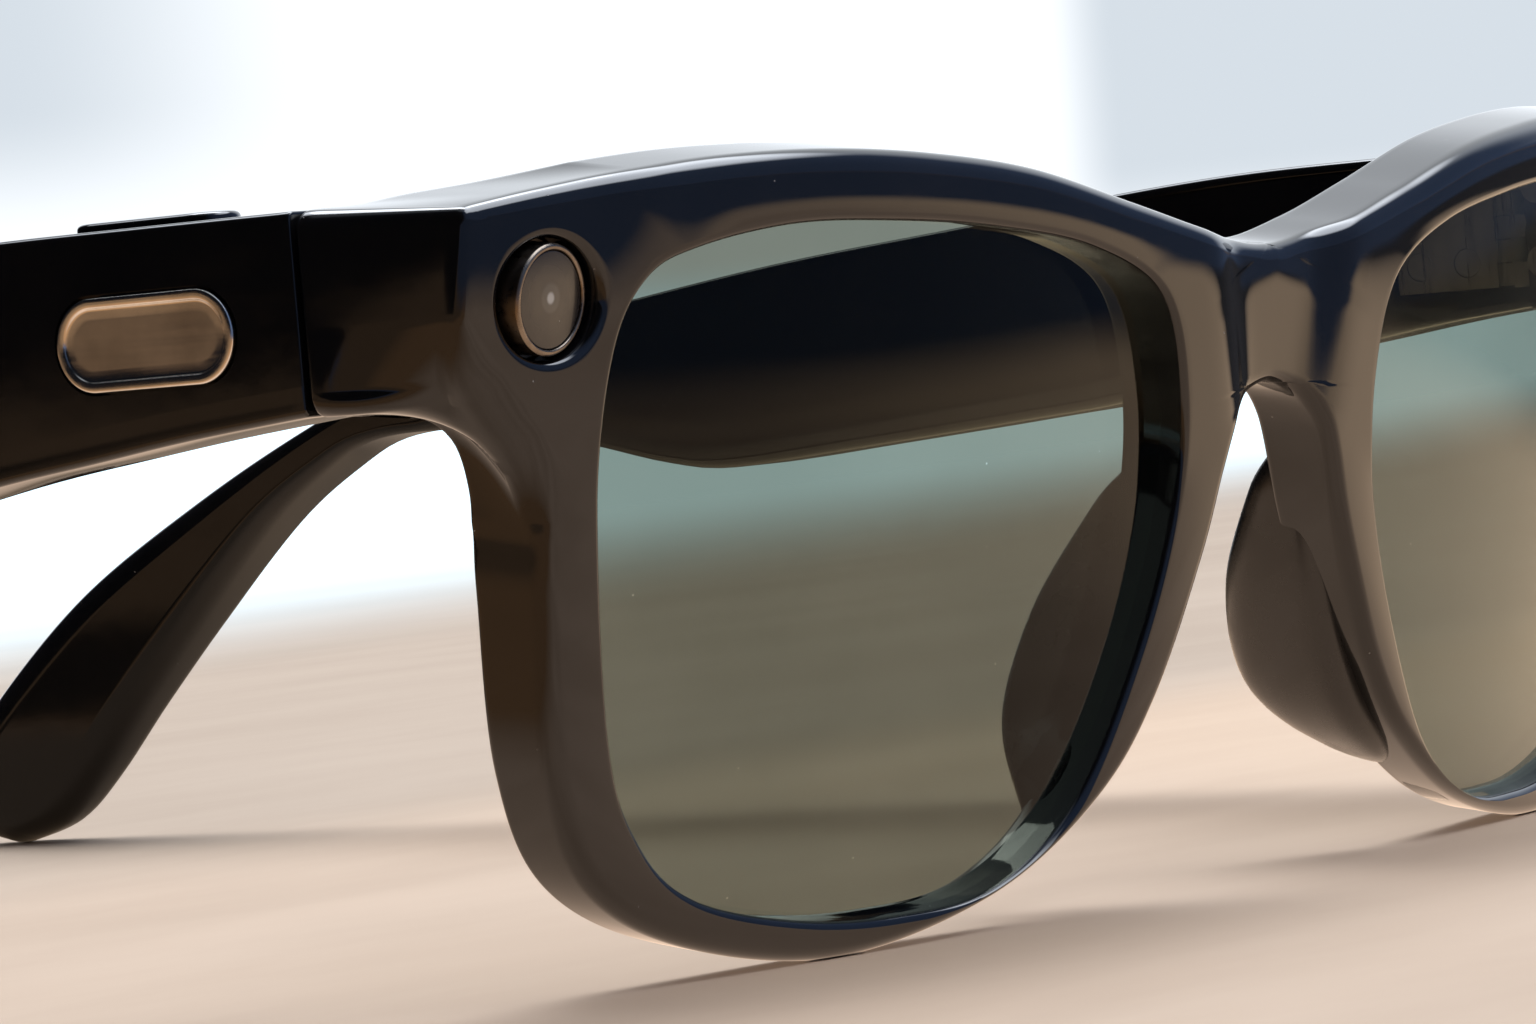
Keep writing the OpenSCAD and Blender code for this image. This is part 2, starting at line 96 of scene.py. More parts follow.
OPENING = [(60.3, 28), (59.6, 36), (57.5, 40), (53.9, 41.7), (46.5, 42.9), (38.5, 42.9),
           (30, 42.3), (20.7, 40.8), (13.8, 37.7), (11.4, 31.5), (11.8, 24.5), (15, 16),
           (20.5, 7.4), (27.8, 3), (36.5, 2.1), (44.6, 2.6), (52.4, 4.5), (56.6, 8), (59, 14)]
TOP_EDGE = [(0, BRIDGE_TOP), (7.5, 41.3), (15.9, 43.3), (25.6, 45.6), (34.6, 46.7), (42.8, 47.1),
            (50.5, 46.9), (57.7, 46.2), (64.5, 45.2), (69.45, 44.3)]
CORNER_EDGE = [(70.3, 38.1), (69.4, 34.6), (67.4, 31.9), (65.3, 29.3), (64.3, 26.2)]
LOW_EDGE = [(64.3, 26.2), (64, 22.3), (62.8, 12.1), (59.6, 5.4), (52.2, 1.6), (40.5, 0),
            (27.7, 2.4), (18.2, 7.3), (12.8, 12.9), (8.2, 21.5), (6.1, 27),
            (4.95, 29.2), (3.1, 30.8), (0, BRIDGE_LOW)]
FILLET_STEPS = np.linspace(0, math.pi / 2, 7)


def dress(piece, body, node, slot):
    """The piece rides a body, stands in for a CAD node and takes its finish from a slot."""
    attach(piece, body)
    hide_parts(node)
    MADE[piece.name] = slot


# ---- curves
def crom(a, b, c, d, t):
    return 0.5 * (2 * b + (c - a) * t + (2 * a - 5 * b + 4 * c - d) * t ** 2
                  + (3 * b - a - 3 * c + d) * t ** 3)


def spline(points, n=16, closed=False, start=None, end=None):
    """Catmull-Rom curve; start and end are points before the first and after the last."""
    p = [np.array(q, float) for q in points]
    if closed:
        q = [p[-1]] + p + p[:2]
    else:
        q = [np.array(start or p[0], float)] + p + [np.array(end or p[-1], float)]
    out = [crom(*q[i:i + 4], s / n) for i in range(len(q) - 3) for s in range(n)]
    return np.array(out if closed else out + [p[-1]])


def resample(curve, n, keep_end=True):
    """n points spaced evenly along a curve; the last one is left out when keep_end is False."""
    steps = np.linalg.norm(np.diff(curve, axis=0), axis=1)
    at = np.concatenate([[0], np.cumsum(steps)])
    want = np.linspace(0, at[-1], n if keep_end else n + 1)[:n]
    return np.stack([np.interp(want, at, curve[:, k]) for k in range(curve.shape[1])], 1)


def nearest(curve, point):
    return int(np.argmin(np.linalg.norm(curve - np.array(point, float), axis=1)))


def cut(curve, a, b):
    """The stretch of a curve between the points nearest to a and b."""
    return curve[nearest(curve, a):nearest(curve, b) + 1]


def arc(centre, r, a, b, n):
    t = np.radians(np.linspace(a, b, n))
    return np.stack([centre[0] + r * np.cos(t), centre[1] + r * np.sin(t)], 1)


def between(a, b, n):
    """n rows of points, from line a to line b."""
    return np.stack([a + (b - a) * t for t in np.linspace(0, 1, n)], 1)


def smoothstep(a, b, x):
    t = np.clip((x - a) / (b - a), 0, 1)
    return t * t * (3 - 2 * t)


def fillet_drop(points, *edges):
    """Largest fillet drop at each 2-D point, for edges given as (line, radii)."""
    best = np.zeros(len(points))
    for line, radii in edges:
        a, d = line[:-1], np.diff(line, axis=0)
        radii = np.broadcast_to(radii, len(line))
        for i in range(0, len(points), 4000):
            p = points[i:i + 4000, None, :]
            t = np.clip(((p - a) * d).sum(2) / np.maximum((d * d).sum(1), 1e-12), 0, 1)
            near = np.linalg.norm(p - (a + t[..., None] * d), axis=2)
            r = radii[:-1] * (1 - t) + radii[1:] * t
            drop = fall_off(r, near).max(1)
            best[i:i + 4000] = np.maximum(best[i:i + 4000], drop)
    return best


def fall_off(r, t):
    """How far an edge of radius r has fallen back at a distance t from its outline."""
    return r - np.sqrt(np.clip(r * r - np.clip(r - t, 0, None) ** 2, 0, None))


# ---- frames of reference
def to_row(p):
    """Front-frame points (x, y, z), before the front leans, to the row frame."""
    x, y, z = p[..., 0], p[..., 1], p[..., 2] - LEAN_Z
    c, s = math.cos(TILT), math.sin(TILT)
    return np.stack([x, y * c - z * s + FRONT_Y, y * s + z * c + LEAN_Z - FRONT_DROP], -1)


def rim_rear(x, z):
    """Front-frame y of the rims' back surface."""
    return WRAP * x * x + RIM_DEPTH + REAR_LEAN * z


def rim_back(line):
    """Row-frame back edge straight behind a front-frame outline."""
    return to_row(np.stack([line[:, 0], rim_rear(line[:, 0], line[:, 1]), line[:, 1]], 1))


def back_height(x, z):
    """Row-frame y of the back of the front: the rims' back, and the thicker end pieces."""
    c, s = math.cos(TILT), math.sin(TILT)
    base = WRAP * x * x + RIM_DEPTH
    h = (z - LEAN_Z + FRONT_DROP + LEAN_Z * c - base * s) / (c + REAR_LEAN * s)
    rim = (base + REAR_LEAN * h) * c - (h - LEAN_Z) * s + FRONT_Y
    over = smoothstep(0, 1, np.minimum((np.abs(x) - 59.6) / 2.6, (z - 32.6) / 1.3))
    return rim + (SEAM_Y + FRONT_Y - rim) * over


# ---- mesh helpers
def grid_faces(n, m, wrap_n=False, wrap_m=False):
    return [(i * m + j, (i + 1) % n * m + j, (i + 1) % n * m + (j + 1) % m, i * m + (j + 1) % m)
            for i in range(n if wrap_n else n - 1) for j in range(m if wrap_m else m - 1)]


def clean(mesh, sharp, weld, turn_out=True):
    """Welds a mesh's close points, turns its faces outwards and marks its sharp edges."""
    work = bmesh.new()
    work.from_mesh(mesh)
    bmesh.ops.remove_doubles(work, verts=work.verts, dist=weld * MM)
    bmesh.ops.dissolve_degenerate(work, edges=work.edges, dist=1e-7)
    if turn_out:
        bmesh.ops.recalc_face_normals(work, faces=work.faces)
    limit = math.radians(sharp)
    for face in work.faces:
        face.smooth = True
    for edge in work.edges:
        edge.smooth = len(edge.link_faces) == 2 and edge.calc_face_angle(0) < limit
    work.to_mesh(mesh)
    work.free()


class Shape:
    """Collects vertices, in millimetres in the row frame, and faces."""

    def __init__(self):
        self.points, self.faces = [], []

    def add(self, points, faces):
        base = len(self.points)
        self.points += [tuple(p) for p in np.asarray(points, float).reshape(-1, 3)]
        self.faces += [tuple(base + i for i in f) for f in faces]

    def grid(self, points, wrap_n=False, wrap_m=False):
        self.add(points, grid_faces(*points.shape[:2], wrap_n, wrap_m))

    def cap(self, line):
        """One flat face through a closed line of points."""
        self.add(line, [tuple(range(len(line)))])

    def mirrored(self):
        other = Shape()
        other.points = [(-x, y, z) for x, y, z in self.points]
        other.faces = [tuple(reversed(f)) for f in self.faces]
        return other

    def on(self, side):
        """The shape itself for the left side, and its mirror image for the right."""
        return self if side == "left" else self.mirrored()

    def join(self, other):
        self.add(other.points, other.faces)
        return self

    def make(self, name, sharp=40, kept=True):
        mesh = bpy.data.meshes.new(name)
        points = np.array(self.points) * MM
        if kept:                        # nothing stands outside the box of the CAD
            points = np.clip(points, *CAD_BOX)
        mesh.from_pydata(points.tolist(), [], self.faces)
        clean(mesh, sharp, 0.002)
        thing = bpy.data.objects.new(name, mesh)
        bpy.context.scene.collection.objects.link(thing)
        return thing


def loft(sections):
    """A closed shape through rings of points, one ring a row."""
    shape = Shape()
    sections = np.asarray(sections)
    shape.grid(sections, wrap_m=True)
    for end in (sections[0], sections[-1]):
        shape.cap(end)
    return shape


# ---- the front
opening_curve = spline(OPENING, 24, closed=True)
opening_loop = np.concatenate([opening_curve, opening_curve[:1]])


def front_surface(x, z):
    """Front-frame y of the front face, with the bridge set back between two slanted facets."""
    crease = 5.9 + (z - 30) * (1.9 / 9) - np.clip(30 - z, 0, None) * 0.3
    across = (crease - np.abs(x)) / 3.2
    soft = 0.3
    ramp = 0.5 * (np.sqrt(across ** 2 + soft ** 2) - np.sqrt((across - 1) ** 2 + soft ** 2) + 1)
    brow = 0.35 * np.clip((z - 38) / 8, 0, 1) ** 2 * smoothstep(56, 62, np.abs(x))
    return WRAP * x * x + brow + BRIDGE_RECESS * np.clip(ramp - 0.02, 0, 1)


def build_outline():
    """Front edge (front frame x, z), back edge (row frame), inner loop and per-point settings."""
    top = spline(TOP_EDGE, 24, start=(-7.5, 41.3))
    corner = spline(CORNER_EDGE, 24, start=(70.3, 41), end=(64, 22.3))
    low = spline(LOW_EDGE, 24, start=(65.3, 29.3), end=(-3.1, 30.8))
    opening = np.concatenate([opening_curve] * 3)[::-1]
    turn = len(opening_curve)
    at = nearest(opening[:turn], (12.5, 35.8))
    parts = [[], [], [], [], [], []]

    def keep(*values):
        for part, value in zip(parts, values):
            part.append(value)

    def add(line, behind, inner_end, n, r0, r1, fast0=1.0, fast1=1.0):
        """n points of the edge; behind gives (x, depth, z) points, or None for straight back."""
        nonlocal at
        line = resample(line, n + 1)[:-1]
        back = rim_back(line) if behind is None else resample(behind, n + 1)[:-1]
        stop = at + nearest(opening[at:at + turn * 3 // 4], inner_end)
        keep(line, back, resample(opening[at:stop + 1], n + 1)[:-1],
             np.linspace(r0, r1, n + 1)[:-1], np.linspace(fast0, fast1, n + 1)[:-1], np.ones(n))
        at = stop

    def block(points, n):
        return resample(spline(np.array(points, float) + [0, FRONT_Y, 0], 12), n)

    def on_seam(line):
        return np.stack([line[:, 0], np.full(len(line), SEAM_Y + FRONT_Y), line[:, 1]], 1)

    def rear_of(x, z):
        return rim_back(np.array([(x, z)]))[0] - [0, FRONT_Y, 0]

    start = (0, BRIDGE_TOP)
    for end, inner_end, n, r0, r1 in (((11, 42.05), (16, 39.4), 26, 0.9, 1.0),
                                      ((23.2, 45.1), (25.2, 42), 26, 1.0, 1.1),
                                      ((42.6, 47.1), (42.6, 43), 38, 1.1, 1.1),
                                      ((57.7, 46.2), (54.6, 41.5), 32, 1.1, 1.1)):
        add(cut(top, start, end), None, inner_end, n, r0, r1)
        start = end
    add(cut(top, start, (69.45, 44.3)),
        block([rear_of(*start), (61.2, 13.2, 46.35), (64.5, 15.9, 45.95), (67.5, 16.7, 45.6),
               (71.8, SEAM_Y, 45.42)], 40), (57.4, 40.1), 30, 1.1, 0.7)
    add(arc((69.45, 43.7), 0.6, 90, 0, 12), on_seam(arc((71.8, 44.2), 1.2, 90, 0, 12)),
        (58, 39.4), 10, 0.7, 0.45)
    add(np.array([(70.05, 43.7), (70.3, 38.1)]),
        block([(73, SEAM_Y, 44.2), (73, SEAM_Y, 38.5)], 8), (59.4, 36.6), 16, 0.45, 0.6)
    add(cut(corner, (70.3, 38.1), (69.4, 34.6)),
        block([(73, SEAM_Y, 38.5), (73, SEAM_Y, 35)], 8), (59.9, 34), 12, 0.6, 1.8, 1, 1.3)
    add(cut(corner, (69.4, 34.6), (68.5, 33.3)), on_seam(arc((71.9, 35), 1.1, 0, -90, 10)),
        (60.05, 32.9), 8, 1.8, 2.3, 1.3, 2.2)
    add(cut(corner, (68.5, 33.3), (66.3, 30.5)),
        block([(71.9, SEAM_Y, 33.9), (69.5, SEAM_Y, 33.85), (66.6, SEAM_Y, 33.8)], 12),
        (60.2, 31), 14, 2.3, 2.1, 2.2, 2.2)
    add(cut(corner, (66.3, 30.5), (64.3, 26.2)),
        block([(66.6, SEAM_Y, 33.8), (65.6, 15.0, 33.3), (64.9, 13.6, 31.8),
               (64.5, 13.1, 29.2), rear_of(64.3, 26.2)], 20),
        (60.3, 27), 18, 2.1, 1.1, 2.2, 1)
    start = (64.3, 26.2)
    for end, inner_end in (((64, 22), (60.05, 22)), ((63, 13), (59, 14)), ((60.8, 6.8), (56.6, 8)),
                           ((54, 2.1), (52.4, 4.5)), ((36, 0.55), (36.5, 2.1)),
                           ((26.6, 2.75), (27.8, 3)), ((18.2, 7.3), (20.5, 7.4)),
                           ((10.9, 15.9), (15, 16)), ((7, 24.7), (11.8, 24.5)),
                           ((0, BRIDGE_LOW), (11.4, 31.2))):
        line = cut(low, start, end)
        length = np.linalg.norm(np.diff(line, axis=0), axis=1).sum()
        add(line, None, inner_end, max(int(length / 0.5), 8), RIM_EDGE, RIM_EDGE)
        start = end
    # the middle of the bridge: no edge here, the two halves join
    edge = RIM_EDGE * (1 - np.cos(FILLET_STEPS))
    heights = np.concatenate([
        BRIDGE_LOW + edge, np.linspace(BRIDGE_LOW + RIM_EDGE, BRIDGE_TOP - RIM_EDGE, 16)[1:-1],
        BRIDGE_TOP - edge[::-1]])
    n = len(heights)
    line = np.stack([np.zeros(n), heights], 1)
    ahead = opening[at:at + turn // 2]
    inner = resample(ahead[:nearest(ahead, parts[2][0][0]) + 1], n)
    keep(line, rim_back(line), inner, np.full(n, RIM_EDGE), np.ones(n), np.zeros(n))
    return [np.concatenate(part) for part in parts]


def in_from(line, target, r):
    """Unit directions from a line towards target, and how far along them a depth r lies."""
    way = target - line
    gap = np.linalg.norm(way, axis=1, keepdims=True)
    way = way / gap
    ahead = np.roll(line, -1, 0) - np.roll(line, 1, 0)
    normal = np.stack([-ahead[:, 1], ahead[:, 0]], 1)
    normal /= np.maximum(np.linalg.norm(normal, axis=1, keepdims=True), 1e-9)
    lean = np.abs((way * normal).sum(1))
    reach = np.asarray(r)[:, None] / np.clip(lean, 0.45, 1)[:, None]
    return way * np.minimum(reach, 0.33 * gap)


def sheet_rows(outer, inner, r_out, r_in, mid):
    """2-D points of a sheet, from the inner loop to the outer one, with fillet rows at each."""
    inwards = in_from(outer, inner, r_out)
    outwards = in_from(inner, outer, np.full(len(inner), r_in))
    shares = 1 - np.cos(FILLET_STEPS[:-1])
    a, b = inner + outwards, outer + inwards
    rows = [inner + outwards * k for k in shares]
    rows += [a + (b - a) * t for t in np.linspace(0, 1, mid)]
    rows += [outer + inwards * k for k in shares[::-1]]
    return np.stack(rows, 1)


def build_front():
    front, back, inner, radius, speed, real = build_outline()
    n = len(front)
    edge = real > 0.5
    keep = np.append(np.where(edge)[0], np.where(edge)[0][-1] + 1)
    edges = (front[keep], radius[keep]), (opening_loop, LENS_EDGE)
    shape = Shape()

    # front sheet: a slight crown, and a brow that falls back towards the top
    rows = sheet_rows(front, inner, np.where(edge, radius, 0), LENS_EDGE, 26)
    m = rows.shape[1]
    s = np.linalg.norm(rows - rows[:, :1], axis=2)
    s /= s[:, -1:]
    flat = rows.reshape(-1, 2)
    corner = smoothstep(52, 58, front[:, 0]) * smoothstep(27, 33, front[:, 1])
    middle = 1 - smoothstep(8, 16, front[:, 0])
    crown = 0.11 * (1 - corner) * (1 - middle * smoothstep(24, 30, front[:, 1]))
    brow = 0.26 * smoothstep(38, 42, front[:, 1]) * (1 - smoothstep(54, 60, front[:, 0]))
    rise = (crown[:, None] * (2 * s - 1) ** 2 + brow[:, None] * s ** 2).reshape(-1)
    y = front_surface(flat[:, 0], flat[:, 1]) + rise + fillet_drop(flat, *edges)
    sheet = np.stack([flat[:, 0], y, flat[:, 1]], 1).reshape(n, m, 3)

    # the hole for the corner module: a block of cells gives way to rings round the hole
    centre = np.array([MODULE_X, MODULE_Z])
    near = np.linalg.norm(rows - centre, axis=2) < MODULE_R + 1.15
    us, ss = np.where(near.any(1))[0], np.where(near.any(0))[0]
    u0, u1, s0, s1 = us[0] - 1, us[-1] + 1, max(ss[0] - 1, 6), min(ss[-1] + 1, m - 7)
    shape.add(sheet, [f for k, f in enumerate(grid_faces(n, m, wrap_n=True))
                      if not (u0 <= k // (m - 1) < u1 and s0 <= k % (m - 1) < s1)])
    border = ([(u, s0) for u in range(u0, u1)] + [(u1, v) for v in range(s0, s1)]
              + [(u, s1) for u in range(u1, u0, -1)] + [(u0, v) for v in range(s1, s0, -1)])
    rim = np.array([rows[b] for b in border])
    turn = np.arctan2(rim[:, 1] - MODULE_Z, rim[:, 0] - MODULE_X)
    ring = np.stack([np.cos(turn), np.sin(turn)], 1)
    rings = [centre + ring * (MODULE_R + MODULE_LIP * (1 - math.cos(a))) for a in FILLET_STEPS]
    rings += [rings[-1] + (rim - rings[-1]) * t for t in np.linspace(0, 1, 9)[1:]]
    p = np.stack(rings, 1).reshape(-1, 2)
    lip = fall_off(MODULE_LIP, np.maximum(np.linalg.norm(p - centre, axis=1) - MODULE_R, 0))
    y = front_surface(p[:, 0], p[:, 1]) + np.maximum(fillet_drop(p, *edges), lip)
    patch = np.stack([p[:, 0], y, p[:, 1]], 1).reshape(len(border), -1, 3)
    patch[:, -1] = np.array([sheet[b] for b in border])
    shape.grid(patch, wrap_n=True)
    bottom = patch[:, 0] * [1, 0, 1] + [0, MODULE_FLOOR, 0]
    shape.grid(between(patch[:, 0], bottom, 5), wrap_n=True)
    shape.cap(bottom)
    shape.points = [tuple(p) for p in to_row(np.array(shape.points))]

    # back sheet, in the row frame
    inner_back = rim_back(inner)
    rows = sheet_rows(back[:, [0, 2]], inner_back[:, [0, 2]], np.where(edge, BACK_EDGE, 0),
                      BACK_EDGE, 22)
    m = rows.shape[1]
    flat = rows.reshape(-1, 2)
    miss = back[:, 1] - back_height(back[:, 0], back[:, 2])
    miss_in = inner_back[:, 1] - back_height(inner_back[:, 0], inner_back[:, 2])
    t = np.linspace(0, 1, m)[None, :]
    height = back_height(flat[:, 0], flat[:, 1]).reshape(n, m)
    height += miss[:, None] * smoothstep(0.72, 1, t)
    height += miss_in[:, None] * (1 - smoothstep(0, 0.2, t))
    height -= fillet_drop(flat, (back[keep][:, [0, 2]], BACK_EDGE),
                          (rim_back(opening_loop)[:, [0, 2]], BACK_EDGE)).reshape(n, m)
    sheet_b = np.stack([rows[..., 0], height, rows[..., 1]], 2)
    shape.grid(sheet_b, wrap_n=True)

    # outer wall, which bends as fast as speed says, and inner wall
    sheet = to_row(sheet)
    a, b = sheet[:, -1], sheet_b[:, -1]
    wall = []
    for t in np.linspace(0, 1, 15):
        quick = 1 - (1 - t) ** speed[:, None]
        wall.append(a + (b - a) * np.concatenate([quick, np.full((n, 1), t), quick], 1))
    shape.grid(np.stack(wall, 1)[keep])
    shape.grid(between(sheet[:, 0], sheet_b[:, 0], 6), wrap_n=True)
    shape.join(shape.mirrored())
    return shape.make("front_frame_moulding", sharp=38)


# ---- cutting
def carve(thing, cutters):
    """Cuts closed shapes out of a piece, one after another, and marks its edges again."""
    for shape in cutters:
        tool = shape.make("cutter", kept=False)
        trim = thing.modifiers.new("trim", "BOOLEAN")
        trim.operation, trim.solver, trim.object = "DIFFERENCE", "MANIFOLD", tool
        result = bpy.data.meshes.new_from_object(
            thing.evaluated_get(bpy.context.evaluated_depsgraph_get()))
        thing.modifiers.clear()
        old, thing.data = thing.data, result
        bpy.data.meshes.remove(old)
        bpy.data.objects.remove(tool)
    clean(thing.data, 38, 0.0005, turn_out=False)
    return thing


def box_shape(low, high, front=False):
    """A box cutter between two corners given from the front surface's centre."""
    (x0, y0, z0), (x1, y1, z1) = low, high
    p = np.array([(x, y, z) for x in (x0, x1) for y in (y0, y1) for z in (z0, z1)], float)
    faces = [(0, 1, 3, 2), (4, 6, 7, 5), (0, 4, 5, 1), (2, 3, 7, 6), (0, 2, 6, 4), (1, 5, 7, 3)]
    shape = Shape()
    shape.add(to_row(p) if front else p + [0, FRONT_Y, 0], faces)
    return shape


def prism(outline, axis, levels, at):
    """Lofts outlines, one a level, along "x" or "z"; the outline's first axis lies along y."""
    rings = []
    for level in levels:
        o = outline(level)
        w = np.full(len(o), float(level[1]))
        along = at[0] + o[:, 0] + FRONT_Y if axis == "x" else at[1] + o[:, 0] + FRONT_Y
        rings.append(np.stack([w, along, at[1] + o[:, 1]] if axis == "x"
                              else [at[0] + o[:, 1], along, w], 1))
    return loft(rings)


def rod_shape(axis, r, a, b, at, n=32):
    """A round cutter along "x" or "z" from a to b; at gives the other two coordinates."""
    t = np.linspace(0, 2 * math.pi, n, endpoint=False)
    circle = np.stack([r * np.cos(t), r * np.sin(t)], 1)
    return prism(lambda level: circle, axis, [(0, a), (0, b)], at)


def capsule_shape(size, levels, axis, at, n=32):
    """A capsule along y built up in levels of (shrink, height)."""
    def outline(level):
        length, width = size[0] - 2 * level[0], size[1] - 2 * level[0]
        r = width / 2
        a = np.linspace(-math.pi / 2, math.pi / 2, n)
        right = np.stack([length / 2 - r + r * np.cos(a), r * np.sin(a)], 1)
        return np.concatenate([right, -right])
    return prism(outline, axis, levels, at)


def grown(size, by):
    return size[0] + by, size[1] + by


# ---- the front, finished
CARRIER = np.array((0, 4.5, 33.9))      # charge contacts' carrier, front frame
CARRIER_HALF = np.array((8.4, 2.1, 2.6)) / 2
CARRIER_FIT = 0.05
BROW_LINE = [(-6, 37.4), (0, 36.6), (6, 37.4), (11, 39.6), (16, 41.3), (20.6, 42.7),
             (25.4, 43.8), (38.6, 44.9), (46.6, 45), (54, 44.2), (57.6, 43.2)]
LEAF_HALF = 4.25                        # half the height of a hinge leaf's pocket
SCREW_Y, SCREW_DZ = 15.1, 2.6


def brow_line():
    half = spline(BROW_LINE, 12)
    half = half[half[:, 0] >= -1e-9]
    return np.concatenate([half[::-1] * [-1, 1], half[1:]])


def strip_shape(line, w, d0, d1, edge=0.0):
    """A strip that follows a line on the rims' back, from depth d0 to d1 behind it."""
    ahead = np.gradient(line, axis=0)
    ahead /= np.linalg.norm(ahead, axis=1, keepdims=True)
    side = np.stack([-ahead[:, 1], ahead[:, 0]], 1)
    rear = rim_rear(line[:, 0], line[:, 1])
    bevel = [(w, d1 - edge), (w - edge * 0.3, d1 - edge * 0.3)] if edge else []
    bevel.append((w - edge, d1))
    steps = [(-w, d0), (w, d0)] + bevel + [(-a, b) for a, b in bevel[::-1]]
    rings = [np.stack([line[:, 0] + side[:, 0] * a, rear + b, line[:, 1] + side[:, 1] * a], 1)
             for a, b in steps]
    return loft(to_row(np.stack(rings, 1)))


def front_cutters():
    """The wiring channel, the carrier's pocket, the hinge leaves' pockets and the bores."""
    low, high = CARRIER - CARRIER_HALF - CARRIER_FIT, CARRIER + CARRIER_HALF + CARRIER_FIT
    high[1] = CARRIER[1] + CARRIER_HALF[1] + 5
    leaves = box_shape((63.35, 13.45, HINGE_Z - LEAF_HALF), (65.55, 22, HINGE_Z + LEAF_HALF))
    bores = Shape()
    for dz in (-SCREW_DZ, SCREW_DZ):
        bores.join(rod_shape("x", 1.15, 56, 61.75, (SCREW_Y, HINGE_Z + dz)))
    return [strip_shape(brow_line(), 0.9, -1.6, 4), box_shape(low, high, True),
            leaves.join(leaves.mirrored()), bores.join(bores.mirrored()),
            box_shape((7.35, 3.65, 26), (10.05, 9, 28), True)]


dress(carve(build_front(), front_cutters()), "front", "front_frame", "frame_gloss")
dress(strip_shape(brow_line(), 0.85, -1, -0.15, 0.15).make("brow_cover_strip"),
      "front", "brow_cover", "frame_gloss")


# ---- lenses
def build_lens():
    """A lens a little larger than its opening, curved both ways."""
    outline = resample(opening_loop, 220, False)
    centre = np.array([35.8, 23.0])
    ahead = np.roll(outline, -1, 0) - np.roll(outline, 1, 0)
    normal = np.stack([ahead[:, 1], -ahead[:, 0]], 1)
    normal /= np.linalg.norm(normal, axis=1, keepdims=True)
    if ((outline - centre) * normal).sum() < 0:
        normal = -normal
    outline = outline + normal * LENS_BITE
    flat = centre + (outline - centre)[:, None, :] * np.linspace(0.03, 1, 16)[None, :, None]
    x, z = flat[..., 0], flat[..., 1]
    bend = WRAP * x ** 2 + (z - 22.5) ** 2 / 450 + (x - centre[0]) ** 2 / 600

    shape = Shape()
    a, b = (to_row(np.stack([x, bend + depth, z], 2)) for depth in (LENS_SET, LENS_SET + LENS_T))
    for part in (a, b, np.stack([a[:, -1], b[:, -1]], 1)):
        shape.grid(part, wrap_n=True)
    for part in (a, b):
        shape.cap(part[:, 0])
    return shape


# ---- nose pads
PAD = [(8.6, 4.6, 27.5, 1.3), (9.7, 6.4, 23.5, 1.9), (11.6, 8.5, 17.5, 2.3), (14.4, 8.7, 11.5, 2.3),
       (18.2, 6.4, 7.9, 1.8), (21.4, 4.4, 5.6, 0.9)]     # balls: front-frame x, y, z and radius
PAD_BITE, PAD_BULGE = 0.6, 2.2          # the pad's base lies in the rim and swells into it


def build_pad():
    """A smooth pad, lofted along the rim and rounded behind and in front of its back."""
    path = resample(spline(PAD, 12), 48)
    total = len(path)
    way = np.gradient(path[:, :3], axis=0)
    way[:, 1] = 0
    way /= np.linalg.norm(way, axis=1, keepdims=True)
    t = np.linspace(0, math.pi, 20)
    u = np.sign(np.cos(t)) * np.abs(np.cos(t)) ** 0.8
    v = np.abs(np.sin(t)) ** 0.62
    rings = []
    for i, (x, y, z, r) in enumerate(path):
        across = np.array([way[i][2], 0, -way[i][0]])
        base = rim_rear(x, z) - PAD_BITE
        end, taper = min(i, total - 1 - i), 6 if i < total / 2 else 12
        grow = 1.0
        if end < taper:
            grow = math.sqrt(1 - (1 - (end + 0.1) / (taper + 0.1)) ** 2)
        height = max(y + r * 0.98 - base, 0.3) * (0.1 + 0.9 * grow)
        side = np.outer(u * r * (0.3 + 0.7 * grow), across) + [x, base, z]
        rings.append(np.concatenate([side + np.outer(height * v, (0, 1, 0)),
                                     (side - np.outer(PAD_BULGE * grow * v, (0, 1, 0)))[-2:0:-1]]))
    return loft(to_row(np.array(rings)))


lens_shape, pad_shape = build_lens(), build_pad()
for side in ("left", "right"):
    dress(lens_shape.on(side).make("tinted_lens_" + side), "front", "lens_" + side, "lens_tint")
for side in ("left", "right"):
    dress(pad_shape.on(side).make("nose_pad_soft_" + side, sharp=50),
          "front", "nose_pad_" + side, "pad_plastic")


# ---- corner modules
def bevel_profile(points, r, n=5):
    """Rounds the inner corners of an open profile."""
    p = [np.array(q, float) for q in points]
    out = [p[0]]
    for a, b, c in zip(p, p[1:], p[2:]):
        d0, d1 = np.linalg.norm(a - b), np.linalg.norm(c - b)
        k = min(r, d0 * 0.45, d1 * 0.45)
        e0, e1 = b + (a - b) / d0 * k, b + (c - b) / d1 * k
        out += [(1 - t) ** 2 * e0 + 2 * t * (1 - t) * b + t * t * e1 for t in np.linspace(0, 1, n)]
    return out + [p[-1]]


def lathe(profile, closed=False, n=96):
    """Turns a profile of (radius, depth) about a corner module's axis, in the front frame."""
    r, depth = np.array(profile, float).T
    rings = np.stack([np.stack([MODULE_X + math.cos(a) * r, depth, MODULE_Z + math.sin(a) * r], 1)
                      for a in np.linspace(0, 2 * math.pi, n, endpoint=False)])
    shape = Shape()
    shape.grid(to_row(rings), wrap_n=True, wrap_m=closed)
    return shape


